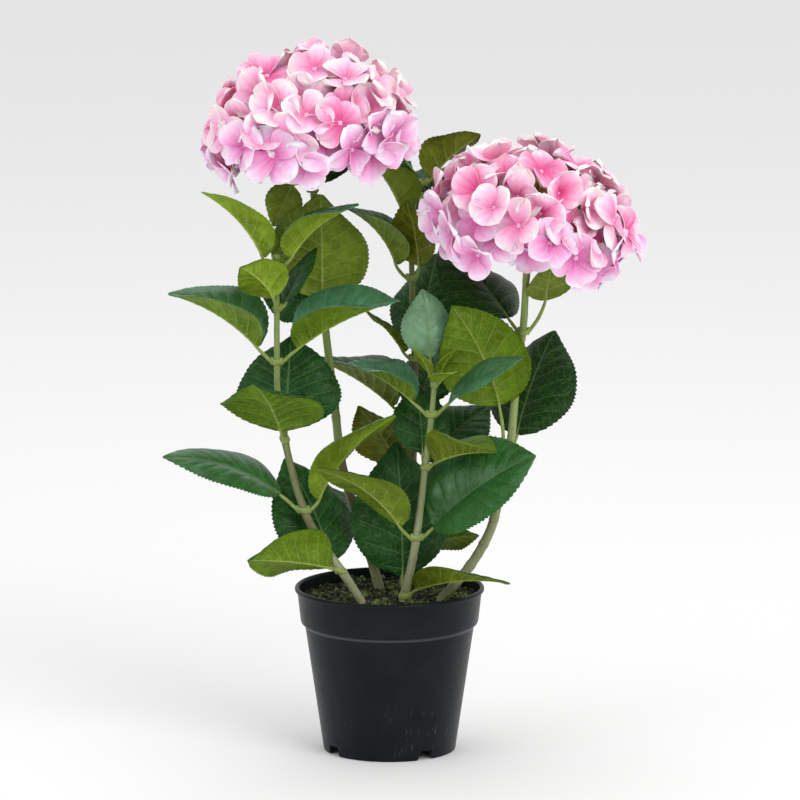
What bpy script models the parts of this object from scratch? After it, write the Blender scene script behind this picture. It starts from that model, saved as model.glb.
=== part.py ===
"""Artificial potted hydrangea: a black nursery pot with a moss-topped fill, five leafy stems and two
flower heads. Metres, +Z up; the origin is the centre of the pot's flat underside and -Y is the front."""

import math
import random

import bmesh
import bpy
from mathutils import Matrix, Vector

MM = 0.001
GAP = 0.35
WELD = 0.000004
SEED = 7

# Pot, in millimetres
RIM_RADIUS = 75.0
POT_HEIGHT = 131.0
RIM_BEAD = 2.6
COLLAR_HEIGHT = 31.0
COLLAR_FOOT_RADIUS = 70.4
BODY_TOP_RADIUS = 67.0
FOOT_RADIUS = 52.2
WALL = 1.8
FLOOR_HEIGHT = 9.0
FLOOR_TOP = FLOOR_HEIGHT + WALL + 0.4
POT_STEP = POT_HEIGHT - COLLAR_HEIGHT
FOOT_RING_WIDTH = 4.0
BOSS_RADIUS = 20.0
NOTCH_WIDTH = 13.0
NOTCH_HEIGHT = 7.5
NOTCH_AZIMUTHS = (213, 303, 33, 123)
NOTCH_TOP_SHARE = 0.84
POT_SIDES = 40

# Fill, in millimetres
SOIL_LEVEL = 122.6
SOIL_LUMP = 2.2
STEM_FOOT_CLEAR = 17.0
SOIL_RINGS = 6
SOIL_SIDES = 30
SOIL_EDGE_DROP = 3.0

# Stems: points of the centre line, base radius and tip radius, heights of old leaf scars
STEM_SIDES = 8
STEM_STEP = 13.0
SCAR_REACH = 5.0
SCAR_SHAPE = ((-1.8, 1.0), (-0.3, 1.13), (0.3, 1.13), (1.5, 1.0))
STEEP = 0.8
STEMS = {
    "a": dict(
        path=((-22, -24, 123), (-38, -27, 149), (-55, -29, 174), (-67, -30, 198), (-79, -31, 240),
              (-87, -31, 286), (-88, -30, 316), (-88, -28, 359), (-88, -27, 402)),
        base=3.4, tip=1.9, scars=()),
    "b": dict(
        path=((-8, 28, 123), (-18, 27, 159), (-27, 26, 185), (-38, 24, 226), (-44, 22, 278),
              (-50, 20, 329), (-56, 16, 390), (-60, 12, 452)),
        base=3.9, tip=2.6, scars=(262, 274)),
    "c": dict(
        path=((11, -20, 123), (18, -20, 156), (21, -21, 174), (25, -22, 204), (28, -23, 231),
              (33, -24, 273), (36, -24, 307)),
        base=3.5, tip=1.9, scars=()),
    "d": dict(
        path=((11, 38, 123), (15, 40, 169), (18, 41, 209), (19, 42, 257), (20, 44, 304),
              (18, 46, 360), (18, 48, 420), (27, 50, 449)),
        base=3.6, tip=1.9, scars=()),
    "e": dict(
        path=((41, -15, 123), (62, -14, 148), (74, -13, 167), (82, -12, 186), (89, -11, 218),
              (95, -10, 247), (98, -9, 276), (101, -8, 314), (105, -8, 340), (107, -8, 376)),
        base=3.9, tip=2.7, scars=(150, 168, 188)),
}

# Leaf pairs: height of the node on its stem, then for each leaf its heading and rise in degrees,
# blade length and width, and where they differ from LEAF: the petiole's length and lift, the blade's
# swing away from the petiole, its roll, arch and fold
LEAF = dict(petiole=12, lift=45, swing=0, roll=0, arch=25, fold=28)
PAIRS = {
    "a1": ("a", 149, (dict(head=213, rise=11, long=80, wide=62, roll=-50, fold=56, petiole=5, arch=12),
                      dict(head=140, rise=57, long=92, wide=74, roll=14, fold=12, petiole=8))),
    "a2": ("a", 198, (dict(head=187, rise=18, long=100, wide=58, roll=20, fold=22, petiole=20, arch=44),
                      dict(head=2, rise=47, long=92, wide=58, roll=26, fold=46, petiole=11, arch=42))),
    "a3": ("a", 255, (dict(head=250, rise=40, long=72, wide=84, roll=-3, fold=30, petiole=8, lift=70),
                      dict(head=82, rise=69, long=76, wide=84, fold=14, petiole=8))),
    "a4": ("a", 316, (dict(head=170, rise=29, long=84, wide=68, roll=3, fold=80, petiole=16, arch=36),
                      dict(head=350, rise=26, long=92, wide=72, roll=-10, fold=80, petiole=17))),
    "a5": ("a", 358, (dict(head=262, swing=-55, rise=42, long=41, wide=45, roll=-52, fold=50,
                           petiole=11, lift=62, arch=40),
                      dict(head=28, rise=56, long=50, wide=32, petiole=7, arch=20))),
    "a6": ("a", 390, (dict(head=186, rise=47, long=74, wide=46, roll=-14, fold=74, petiole=11, arch=40),
                      dict(head=346, rise=38, long=72, wide=56, fold=62, petiole=12, arch=44))),
    "a7": ("a", 399.5, (dict(head=40, rise=62, long=40, wide=26, fold=50, petiole=6),
                        dict(head=140, rise=80, long=24, wide=13, petiole=2, lift=80))),
    "b1": ("b", 352, (dict(head=265, rise=81, long=87, wide=78, fold=10, petiole=8, lift=72),
                      dict(head=172, rise=8, long=40, wide=44, roll=50, petiole=5, lift=10))),
    "b2": ("b", 446, (dict(head=190, rise=-66, long=36, wide=30, petiole=15, lift=48, arch=10, roll=70),
                      dict(head=55, rise=30, long=36, wide=34, petiole=6))),
    "c1": ("c", 127, (dict(head=102, rise=77, long=106, wide=80, fold=12, petiole=16, lift=78),
                      dict(head=322, rise=10, long=96, wide=48, petiole=9, lift=58, roll=20, fold=48))),
    "c2": ("c", 174, (dict(head=206, rise=35, long=92, wide=54, petiole=14, roll=-22, fold=40, arch=42),
                      dict(head=343, rise=36, long=104, wide=92, roll=-46, fold=46, petiole=15))),
    "c3": ("c", 231, (dict(head=318, rise=14, long=66, wide=60, petiole=8, fold=70, roll=12),
                      dict(head=100, rise=62, long=58, wide=46, petiole=12))),
    "c4": ("c", 273, (dict(head=175, rise=30, long=60, wide=54, roll=4, fold=68, petiole=15),
                      dict(head=334, rise=32, long=76, wide=46, roll=-24, fold=34, petiole=17))),
    "c5": ("c", 297, (dict(head=118, rise=76, long=54, wide=44, roll=10, fold=12, petiole=22, lift=80),
                      dict(head=300, rise=24, long=34, wide=28, petiole=4, fold=40))),
    "c6": ("c", 304.5, (dict(head=222, rise=52, long=28, wide=16, petiole=3),
                        dict(head=312, rise=50, long=28, wide=16, petiole=4))),
    "d1": ("d", 150, (dict(head=348, rise=12, long=48, wide=46, petiole=10, roll=38),
                      dict(head=150, rise=32, long=74, wide=52, petiole=10))),
    "d2": ("d", 212, (dict(head=196, rise=56, long=60, wide=60, petiole=12, fold=14, roll=-35),
                      dict(head=32, rise=34, long=72, wide=62, petiole=14, roll=-25))),
    "d3": ("d", 256, (dict(head=172, rise=30, long=74, wide=90, roll=-4, fold=60, petiole=16),
                      dict(head=70, rise=38, long=70, wide=52, petiole=12))),
    "d4": ("d", 306, (dict(head=205, rise=46, long=52, wide=36, petiole=8, fold=36),
                      dict(head=72, rise=54, long=84, wide=60, fold=14, petiole=10))),
    "d5": ("d", 370, (dict(head=186, rise=48, long=64, wide=52, fold=72, arch=50, petiole=14),
                      dict(head=306, swing=-70, rise=71, long=58, wide=42, fold=8, petiole=13, lift=56))),
    "d6": ("d", 418, (dict(head=190, rise=57, long=56, wide=50, petiole=6, roll=-14, fold=84),
                      dict(head=78, rise=30, long=56, wide=38, petiole=7))),
    "d7": ("d", 434, (dict(head=22, rise=26, long=46, wide=32, petiole=5, roll=-14),
                      dict(head=140, rise=60, long=44, wide=28, petiole=10, lift=40))),
    "d8": ("d", 445.5, (dict(head=190, rise=58, long=28, wide=24, petiole=3),
                        dict(head=355, rise=42, long=54, wide=50, roll=36, fold=64, petiole=5))),
    "e1": ("e", 247, (dict(head=194, rise=64, long=92, wide=74, fold=10, petiole=32, lift=86, roll=-72),
                      dict(head=56, rise=54, long=94, wide=78, fold=14, petiole=8))),
    "e2": ("e", 336, (dict(head=20, swing=-80, rise=70, arch=20, long=34, wide=42, fold=14, petiole=29,
                           lift=52),
                      dict(head=140, rise=36, long=88, wide=78, fold=12, petiole=14))),
}
LEAF_ROWS = (0.0, 0.12, 0.34, 0.58, 0.82, 1.0)
LEAF_THICK = 1.2
LEAF_COLUMNS = 5
LEAF_BROADEST = 0.395
LEAF_FULLNESS = 0.62
SPINE_STEPS = 40
FOLD_FADE = 0.6
MARGIN_CURL = 0.35
COLLAR_THICK = 1.1
COLLAR_TALL = 4.6
PETIOLE_RADIUS = 1.25
PETIOLE_SIDES = 4
PETIOLE_CLEAR = 0.35
PETIOLE_DROP = 0.6
PETIOLE_SUNK = 7.0
PETIOLE_LONG = 9
PETIOLE_SHOULDER = 1.25
PETIOLE_TIPS = (0.8, 0.35)

# Flower heads: centre, half width and half height of the shell of floret centres, tilt
HEADS = {
    "left": dict(stem="b", centre=(-62, 2, 497), across=74, tall=55, tilt=-7, turn=20, low=116),
    "right": dict(stem="e", centre=(111, -14, 424), across=75, tall=56, tilt=11, turn=75, low=118),
}
FLORET_COUNT = 28
FLORET_RADIUS = 26.0
FLORET_THICK = 1.0
PEDICEL_RADIUS = 1.0
STALK_STRAIGHT = 2.0
STALK_RADII = (2.6, 2.6, 3.4)
PEDICEL_SIDES = 3
PEDICEL_TAPER = 0.8
FLORET_CORNERS = ((0, 1.0, 0.18), (45, 0.72, 0.03))
FLORET_SWAY = 0.2
FLORET_LIFT = 3.0
FLORET_SETBACK = 5.0
STALK_END = Vector((0, 0, 4))
CORE_SHARE = 0.60
CORE_SIDES = 10
CORE_LEVELS = (0.985, 0.8, 0.45, 0.0, -0.45)
ROOT_SHARE = 0.8


def clear_scene():
    for item in list(bpy.data.objects):
        bpy.data.objects.remove(item, do_unlink=True)


def principled(name, colour, roughness):
    made = bpy.data.materials.new(name)
    made.use_nodes = True
    shader = made.node_tree.nodes["Principled BSDF"]
    shader.inputs["Base Color"].default_value = (*colour, 1.0)
    shader.inputs["Roughness"].default_value = roughness
    return made


def mesh_object(name, verts, faces, material):
    """A mesh object from points in millimetres, its faces turned outward."""
    data = bpy.data.meshes.new(name)
    data.from_pydata([Vector(v) * MM for v in verts], [], faces)
    shape = bmesh.new()
    shape.from_mesh(data)
    bmesh.ops.recalc_face_normals(shape, faces=shape.faces)
    shape.to_mesh(data)
    shape.free()
    data.materials.append(material)
    made = bpy.data.objects.new(name, data)
    bpy.context.scene.collection.objects.link(made)
    return made


def boolean_mesh(target, operation, group, solver):
    """The mesh that one Boolean of target with a collection gives."""
    step = target.modifiers.new("fuse", "BOOLEAN")
    step.operation = operation
    step.operand_type = "COLLECTION"
    step.collection = group
    step.solver = solver
    bpy.context.view_layer.update()
    seen = target.evaluated_get(bpy.context.evaluated_depsgraph_get())
    made = bpy.data.meshes.new_from_object(seen)
    target.modifiers.clear()
    return made


def is_closed(data):
    shape = bmesh.new()
    shape.from_mesh(data)
    bmesh.ops.remove_doubles(shape, verts=shape.verts, dist=WELD)
    closed = all(edge.is_manifold for edge in shape.edges)
    shape.free()
    return closed


def apply_boolean(target, operation, cutters):
    """One Boolean of target with all the cutters, which are then removed."""
    group = bpy.data.collections.new("fuse_" + target.name)
    for item in cutters:
        group.objects.link(item)
    fused = boolean_mesh(target, operation, group, "EXACT")
    if not is_closed(fused):
        fused = boolean_mesh(target, operation, group, "MANIFOLD")
    target.data = fused
    for item in cutters:
        bpy.data.objects.remove(item, do_unlink=True)
    bpy.data.collections.remove(group)


def keep_outer_shell(item):
    """Fill sealed hollows and drop loose scraps: only the largest shell stays, as triangles."""
    shape = bmesh.new()
    shape.from_mesh(item.data)
    bmesh.ops.remove_doubles(shape, verts=shape.verts, dist=WELD)
    bmesh.ops.triangulate(shape, faces=shape.faces)
    waiting = set(shape.verts)
    shells = []
    while waiting:
        front = [waiting.pop()]
        shell = set(front)
        while front:
            here = front.pop()
            near = [edge.other_vert(here) for edge in here.link_edges]
            fresh = [vert for vert in near if vert not in shell]
            shell.update(fresh)
            front.extend(fresh)
        waiting -= shell
        shells.append(shell)
    shells.sort(key=len)
    extra = [vert for shell in shells[:-1] for vert in shell]
    bmesh.ops.delete(shape, geom=extra, context="VERTS")
    shape.to_mesh(item.data)
    shape.free()


def curve_points(points, steps=10):
    """A smooth run through the given points (Catmull-Rom)."""
    knots = [Vector(p) for p in points]
    knots = [2 * knots[0] - knots[1]] + knots + [2 * knots[-1] - knots[-2]]
    run = []
    for i in range(1, len(knots) - 2):
        p0, p1, p2, p3 = knots[i - 1:i + 3]
        for k in range(steps):
            t = k / steps
            run.append(0.5 * (2 * p1 + (p2 - p0) * t + (2 * p0 - 5 * p1 + 4 * p2 - p3) * t * t
                              + (3 * p1 - p0 - 3 * p2 + p3) * t ** 3))
    run.append(knots[-2])
    return run


class Stem:
    """A tapering stem, sampled in level steps; every ring has the same corners in the same order."""

    def __init__(self, path, base, tip, scars):
        self.run = curve_points(path)
        low, high = self.run[0].z, self.run[-1].z
        count = round((high - low) / STEM_STEP)
        levels = {low + (high - low) * i / count: 1.0 for i in range(count + 1)}
        for scar in scars:
            levels = {z: g for z, g in levels.items() if abs(z - scar) > SCAR_REACH}
            levels.update({scar + offset: girth for offset, girth in SCAR_SHAPE})
        self.levels = sorted(levels)
        self.centres = [self.centre(z) for z in self.levels]
        self.rings = []
        for z in self.levels:
            share = (z - low) / (high - low)
            radius = (base + (tip - base) * share) * levels[z]
            self.rings.append(self.ring(z, radius, flat=(z == low)))

    def centre(self, z):
        for a, b in zip(self.run, self.run[1:]):
            if z <= b.z:
                return a.lerp(b, (z - a.z) / (b.z - a.z))
        return self.run[-1].copy()

    def axis(self, z):
        return (self.centre(z + 2) - self.centre(z - 2)).normalized() if z < self.run[-1].z - 2 \
            else (self.run[-1] - self.run[-3]).normalized()

    def ring(self, z, radius, flat):
        along = Vector((0, 0, 1)) if flat else self.axis(z)
        side = (Vector((1, 0, 0)) - along * along.x).normalized()
        other = along.cross(side)
        angles = [2 * math.pi * k / STEM_SIDES for k in range(STEM_SIDES)]
        return [self.centre(z) + radius * (math.cos(a) * side + math.sin(a) * other) for a in angles]

    def ring_at(self, z, extra):
        """The stem's own corners at a height, pushed outward by extra."""
        i = max(k for k in range(len(self.levels) - 1) if self.levels[k] <= z + 1e-6)
        t = (z - self.levels[i]) / (self.levels[i + 1] - self.levels[i])
        middle = self.centres[i].lerp(self.centres[i + 1], t)
        corners = [p.lerp(q, t) for p, q in zip(self.rings[i], self.rings[i + 1])]
        return [p + (p - middle).normalized() * extra for p in corners]

    def radius_at(self, z):
        return (self.ring_at(z, 0)[0] - self.ring_at(z, 0)[STEM_SIDES // 2]).length / 2


def ring_faces(rings, sides):
    """Quads between rings of corners that follow one another."""
    faces = []
    for i in range(rings - 1):
        for k in range(sides):
            n = (k + 1) % sides
            faces.append((i * sides + k, i * sides + n, (i + 1) * sides + n, (i + 1) * sides + k))
    return faces


def tube(name, rings, material):
    """A closed tube through rings of corners, with flat caps."""
    sides = len(rings[0])
    last = (len(rings) - 1) * sides
    faces = ring_faces(len(rings), sides)
    faces.append(tuple(range(sides)))
    faces.append(tuple(range(last, last + sides)))
    return mesh_object(name, [p for ring in rings for p in ring], faces, material)


def round_rings(path, radii, sides):
    """Rings square to a path of points."""
    rings = []
    for i, point in enumerate(path):
        along = (path[min(i + 1, len(path) - 1)] - path[max(i - 1, 0)]).normalized()
        guide = Vector((0, 0, 1)) if abs(along.z) < STEEP else Vector((1, 0, 0))
        side = along.cross(guide).normalized()
        other = along.cross(side)
        angles = [2 * math.pi * k / sides for k in range(sides)]
        rings.append([point + radii[i] * (math.cos(a) * side + math.sin(a) * other) for a in angles])
    return rings


def sheet(name, rows, thick, material):
    """A closed thin blade: rows of points across it, narrowed to one point at both ends."""
    across = len(rows[0])
    offsets = []
    for i, row in enumerate(rows):
        before, after = rows[max(i - 1, 0)], rows[min(i + 1, len(rows) - 1)]
        line = []
        for j, point in enumerate(row):
            left, right = row[max(j - 1, 0)], row[min(j + 1, across - 1)]
            normal = (after[j] - before[j]).cross(right - left)
            line.append(normal.normalized() * (-thick / 2))
        offsets.append(line)
    verts = []
    for sign in (1, -1):
        for row, line in zip(rows, offsets):
            verts.extend(p + sign * o for p, o in zip(row, line))
    half = len(rows) * across
    ends = {}
    for sign, start in ((1, 0), (-1, half)):
        middle = across // 2
        verts[start + middle] = rows[0][0] + sign * offsets[1][middle]
        verts[start + half - across + middle] = rows[-1][0] + sign * offsets[-2][middle]
        ends[start] = (start + middle, start + half - across + middle)
    faces = []
    for start in (0, half):
        low, high = ends[start]
        for j in range(across - 1):
            a = start + across + j
            b = start + half - 2 * across + j
            faces.append((low, a, a + 1))
            faces.append((b, high, b + 1))
            for i in range(1, len(rows) - 2):
                c = start + i * across + j
                faces.append((c, c + 1, c + 1 + across, c + across))
    for j in (0, across - 1):
        edge = [ends[0][0]] + [i * across + j for i in range(1, len(rows) - 1)] + [ends[0][1]]
        twin = [ends[half][0]] + [half + i * across + j for i in range(1, len(rows) - 1)] + [ends[half][1]]
        for i in range(len(edge) - 1):
            faces.append((edge[i], edge[i + 1], twin[i + 1], twin[i]))
    used = sorted({k for face in faces for k in face})
    place = {k: n for n, k in enumerate(used)}
    kept = [tuple(place[k] for k in face) for face in faces]
    return mesh_object(name, [verts[k] for k in used], kept, material)


def leaf_outline(share):
    """Half width of an ovate leaf as a share of its full width, from base (0) to tip (1)."""
    fall = LEAF_FULLNESS * (1 - LEAF_BROADEST) / LEAF_BROADEST
    peak = LEAF_BROADEST ** LEAF_FULLNESS * (1 - LEAF_BROADEST) ** fall
    return 0.5 * share ** LEAF_FULLNESS * (1 - share) ** fall / peak


def leaf_rows(base, leaf, shares, across):
    """Points on a leaf's middle surface: V-folded on the midrib, arched along it, rolled about it."""
    head = math.radians(leaf["head"] + leaf["swing"])
    level = Vector((math.cos(head), math.sin(head), 0))
    flank = Vector((math.sin(head), -math.cos(head), 0))
    roll = math.radians(leaf["roll"])
    fold = math.radians(leaf["fold"])
    fine = SPINE_STEPS
    spine = [base.copy()]
    slopes = []
    for k in range(fine + 1):
        slopes.append(math.radians(leaf["rise"] + leaf["arch"] * (0.5 - k / fine)))
    for k in range(fine):
        step = level * math.cos(slopes[k]) + Vector((0, 0, math.sin(slopes[k])))
        spine.append(spine[-1] + step * leaf["long"] / fine)
    rows = []
    for share in shares:
        k = round(share * fine)
        slope = slopes[k]
        up = Vector((0, 0, math.cos(slope))) - level * math.sin(slope)
        side = math.cos(roll) * flank + math.sin(roll) * up
        normal = math.cos(roll) * up - math.sin(roll) * flank
        half = leaf["wide"] * leaf_outline(share)
        open_fold = fold * (1 - FOLD_FADE * share)
        row = []
        for j in range(across):
            t = 2 * j / (across - 1) - 1
            reach = abs(t) * half
            curl = open_fold - MARGIN_CURL * abs(t)
            offset = side * math.copysign(reach * math.cos(curl), t) + normal * reach * math.sin(curl)
            row.append(spine[k] + offset)
        rows.append(row)
    return rows


def leaf_solids(name, stem, node, leaf, material):
    """A petiole that leaves the collar, and the blade at its end."""
    head = math.radians(leaf["head"])
    level = Vector((math.cos(head), math.sin(head), 0))
    lift = math.radians(leaf["lift"])
    away = level * math.cos(lift) + Vector((0, 0, math.sin(lift)))
    outside = stem.radius_at(node) + GAP + PETIOLE_CLEAR + PETIOLE_RADIUS * math.sin(lift)
    start = stem.centre(node) + level * outside
    start.z -= PETIOLE_DROP
    knee = start + away * leaf["petiole"] * 0.5
    slope = math.radians(leaf["rise"] + leaf["arch"] / 2)
    turned = Matrix.Rotation(math.radians(leaf["swing"]), 3, "Z") @ level
    onward = turned * math.cos(slope) + Vector((0, 0, math.sin(slope)))
    heel = knee + (away + onward).normalized() * leaf["petiole"] * 0.5
    sunk = heel + onward * PETIOLE_SUNK
    shoulder = PETIOLE_RADIUS * (PETIOLE_SHOULDER if leaf["petiole"] > PETIOLE_LONG else 1.0)
    path = [start, knee, heel, sunk]
    thin, point = PETIOLE_TIPS
    rings = round_rings(path, (PETIOLE_RADIUS, shoulder, PETIOLE_RADIUS * thin, point), PETIOLE_SIDES)
    stalk = tube(name + "_stalk", rings, material)
    blade = sheet(name + "_blade", leaf_rows(heel, leaf, LEAF_ROWS, LEAF_COLUMNS), LEAF_THICK, material)
    return [stalk, blade]


def build_pair(name, stem, node, leaves, material):
    """A collar round the stem with two leaves, fused into one solid."""
    heights = (node - COLLAR_TALL / 2, node + COLLAR_TALL / 2)
    inner = [stem.ring_at(z, GAP) for z in heights]
    outer = [stem.ring_at(z, GAP + COLLAR_THICK) for z in heights]
    loop = inner + outer[::-1] + inner[:1]
    verts = [p for ring in loop[:-1] for p in ring]
    sides = STEM_SIDES
    faces = []
    for i in range(4):
        for k in range(sides):
            n = (k + 1) % sides
            a, b = i * sides, ((i + 1) % 4) * sides
            faces.append((a + k, a + n, b + n, b + k))
    collar = mesh_object(name, verts, faces, material)
    parts = []
    for side, given in zip("ab", leaves):
        leaf = dict(LEAF, **given)
        parts.extend(leaf_solids(name + side, stem, node, leaf, material))
    apply_boolean(collar, "UNION", parts)
    keep_outer_shell(collar)
    return collar


def shell_directions(head):
    """Even directions over a flower head, from its top to below its widest line."""
    turn = math.radians(head["turn"])
    golden = math.pi * (3 - math.sqrt(5))
    low = math.cos(math.radians(head["low"]))
    for k in range(FLORET_COUNT):
        z = 1 - (1 - low) * (k + 0.5) / FLORET_COUNT
        flat = math.sqrt(1 - z * z)
        yield Vector((flat * math.cos(turn + golden * k), flat * math.sin(turn + golden * k), z))


def floret(name, place, spin, material):
    """Four broad petals as one cupped plate, thin, centred on its own Z axis."""
    verts = [Vector((0, 0, 0))]
    for k in range(4):
        for offset, reach, lift in FLORET_CORNERS:
            angle = math.radians(90 * k + offset) + spin
            verts.append(Vector((math.cos(angle), math.sin(angle), lift / reach)) * reach * FLORET_RADIUS)
    rim = len(verts) - 1
    verts += [v - Vector((0, 0, FLORET_THICK)) for v in verts]
    low = rim + 1
    faces = []
    for k in range(rim):
        a, b = 1 + k, 1 + (k + 1) % rim
        faces.append((0, a, b))
        faces.append((low, low + b, low + a))
        faces.append((a, low + a, low + b, b))
    return mesh_object(name, [place @ v for v in verts], faces, material)


def build_head(name, head, stem, material):
    """A domed flower head: a core on a short stalk, with florets on pedicels, fused into one solid."""
    rng = random.Random(SEED + len(name))
    lean = Matrix.Rotation(math.radians(head["tilt"]), 3, "Y")
    centre = Vector(head["centre"])
    size = Vector((head["across"], head["across"], head["tall"]))
    rings = []
    for level in CORE_LEVELS:
        flat = math.sqrt(1 - level * level)
        ring = []
        for k in range(CORE_SIDES):
            angle = 2 * math.pi * k / CORE_SIDES
            spot = Vector((flat * math.cos(angle), flat * math.sin(angle), level))
            ring.append(centre + lean @ (spot * size * CORE_SHARE))
        rings.append(ring)
    core = tube(name, rings, material)
    onward = stem.axis(stem.run[-1].z)
    foot = stem.run[-1] + onward * GAP
    stalk_path = [foot, foot + onward * STALK_STRAIGHT, centre - STALK_END]
    parts = [tube(name + "_stalk", round_rings(stalk_path, STALK_RADII, STEM_SIDES), material)]
    for k, spot in enumerate(shell_directions(head)):
        shell = centre + lean @ (spot * size)
        normal = (lean @ Vector((spot.x / size.x, spot.y / size.y, spot.z / size.z))).normalized()
        sway = Vector((rng.uniform(-1, 1), rng.uniform(-1, 1), rng.uniform(-1, 1))) * FLORET_SWAY
        normal = (normal + sway).normalized()
        shell += normal * (FLORET_LIFT - FLORET_SETBACK * (k % 3 == 1))
        place = Matrix.Translation(shell) @ normal.to_track_quat("Z", "Y").to_matrix().to_4x4()
        parts.append(floret("%s_floret%d" % (name, k), place, rng.uniform(0, math.pi / 2), material))
        root = centre + lean @ (spot * size * CORE_SHARE * ROOT_SHARE)
        top = shell - normal * FLORET_THICK / 2
        pedicel = round_rings([root, top], (PEDICEL_RADIUS, PEDICEL_RADIUS * PEDICEL_TAPER), PEDICEL_SIDES)
        parts.append(tube("%s_pedicel%d" % (name, k), pedicel, material))
    apply_boolean(core, "UNION", parts)
    keep_outer_shell(core)
    return core


def revolve(name, profile, sides, material):
    """A closed solid turned from a profile of (radius, height) that begins and ends on the axis."""
    verts = [(0, 0, profile[0][1])]
    for radius, height in profile[1:-1]:
        for k in range(sides):
            angle = 2 * math.pi * k / sides
            verts.append((radius * math.cos(angle), radius * math.sin(angle), height))
    verts.append((0, 0, profile[-1][1]))
    last = len(verts) - 1
    rows = len(profile) - 2
    faces = [tuple(1 + i for i in f) for f in ring_faces(rows, sides)]
    for k in range(sides):
        n = (k + 1) % sides
        faces.append((0, 1 + n, 1 + k))
        faces.append((last, last - sides + k, last - sides + n))
    return mesh_object(name, verts, faces, material)


def pot_radius(height):
    """Outer radius of the tapering body at a height."""
    return FOOT_RADIUS + (BODY_TOP_RADIUS - FOOT_RADIUS) * height / POT_STEP


def build_pot(material):
    step = POT_STEP
    lip = RIM_RADIUS - RIM_BEAD
    profile = [(0, 0), (BOSS_RADIUS, 0), (BOSS_RADIUS + 1, FLOOR_HEIGHT),
               (FOOT_RADIUS - FOOT_RING_WIDTH + 1, FLOOR_HEIGHT), (FOOT_RADIUS - FOOT_RING_WIDTH, 0),
               (FOOT_RADIUS, 0), (BODY_TOP_RADIUS - 0.3, step - 1.5), (BODY_TOP_RADIUS, step),
               (COLLAR_FOOT_RADIUS - 0.6, step + 2.2), (COLLAR_FOOT_RADIUS, step + 4.0),
               (lip + 0.6, POT_HEIGHT - 3.6), (RIM_RADIUS - 0.3, POT_HEIGHT - 3.0),
               (RIM_RADIUS, POT_HEIGHT - 1.5), (RIM_RADIUS - 0.8, POT_HEIGHT - 0.3),
               (RIM_RADIUS - 2.2, POT_HEIGHT), (RIM_RADIUS - 3.4, POT_HEIGHT - 0.8),
               (COLLAR_FOOT_RADIUS - WALL, step + 2.5), (BODY_TOP_RADIUS - WALL, step - 1.0),
               (pot_radius(FLOOR_TOP) - WALL, FLOOR_TOP), (0, FLOOR_TOP)]
    pot = revolve("pot", profile, POT_SIDES, material)
    cutters = []
    for azimuth in NOTCH_AZIMUTHS:
        corners = []
        for x in (FOOT_RADIUS - FOOT_RING_WIDTH - 2, FOOT_RADIUS + 6):
            for half, z in ((1, -2), (-1, -2), (-NOTCH_TOP_SHARE, NOTCH_HEIGHT),
                            (NOTCH_TOP_SHARE, NOTCH_HEIGHT)):
                corners.append(Vector((x, half * NOTCH_WIDTH / 2, z)))
        spin = Matrix.Rotation(math.radians(azimuth), 3, "Z")
        faces = [(0, 1, 2, 3), (4, 5, 6, 7), (0, 1, 5, 4), (1, 2, 6, 5), (2, 3, 7, 6), (3, 0, 4, 7)]
        cutters.append(mesh_object("notch%d" % azimuth, [spin @ c for c in corners], faces, material))
    apply_boolean(pot, "DIFFERENCE", cutters)
    keep_outer_shell(pot)
    return pot


def build_soil(material):
    """The fill up to a lumpy moss top, level where a stem stands on it."""
    rng = random.Random(SEED)
    feet = [Vector(stem["path"][0][:2]) for stem in STEMS.values()]
    step = POT_STEP
    clear = WALL + GAP
    low = FLOOR_TOP + GAP
    collar_slope = (RIM_RADIUS - 3.4 - COLLAR_FOOT_RADIUS + WALL) / (COLLAR_HEIGHT - 3.3)
    edge = COLLAR_FOOT_RADIUS - clear + collar_slope * (SOIL_LEVEL - step - 4.5)
    profile = [(0, low), (pot_radius(low) - clear, low), (BODY_TOP_RADIUS - clear, step - 1.0),
               (COLLAR_FOOT_RADIUS - clear, step + 2.5), (edge, SOIL_LEVEL - SOIL_EDGE_DROP)]
    for i in range(SOIL_RINGS):
        profile.append((edge * (1 - (i + 0.5) / (SOIL_RINGS + 0.3)), SOIL_LEVEL))
    profile.append((0, SOIL_LEVEL))
    soil = revolve("moss_fill", profile, SOIL_SIDES, material)
    for vert in soil.data.vertices:
        spot = Vector(vert.co[:2]) / MM
        if vert.co.z < (SOIL_LEVEL - 1) * MM or min((spot - f).length for f in feet) < STEM_FOOT_CLEAR:
            continue
        vert.co.z += rng.uniform(-1, 1) * SOIL_LUMP * MM
    shape = bmesh.new()
    shape.from_mesh(soil.data)
    bmesh.ops.triangulate(shape, faces=shape.faces)
    shape.to_mesh(soil.data)
    shape.free()
    return soil


def main():
    clear_scene()
    plastic = principled("pot_plastic", (0.012, 0.014, 0.016), 0.45)
    moss = principled("moss", (0.045, 0.055, 0.02), 0.95)
    bark = principled("stem_green", (0.36, 0.42, 0.20), 0.6)
    green = principled("leaf_green", (0.06, 0.17, 0.05), 0.45)
    pink = principled("petal_pink", (0.86, 0.42, 0.60), 0.7)
    build_pot(plastic)
    build_soil(moss)
    stems = {key: Stem(**given) for key, given in STEMS.items()}
    for key, stem in stems.items():
        tube("stem_" + key, stem.rings, bark)
    for key, (stem, node, leaves) in PAIRS.items():
        build_pair("leaves_" + key, stems[stem], node, leaves, green)
    for key, head in HEADS.items():
        build_head("flower_" + key, head, stems[head["stem"]], pink)


main()
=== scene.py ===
"""Looks of the artificial potted hydrangea: a black nursery pot with moss, five stems, leaf pairs on
collars and two flower heads. Shapes are worked out in millimetres in the part's own frame."""

import math

import bmesh
import bpy
import numpy as np
from mathutils import Matrix, Vector
from mathutils import noise as lumps


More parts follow.
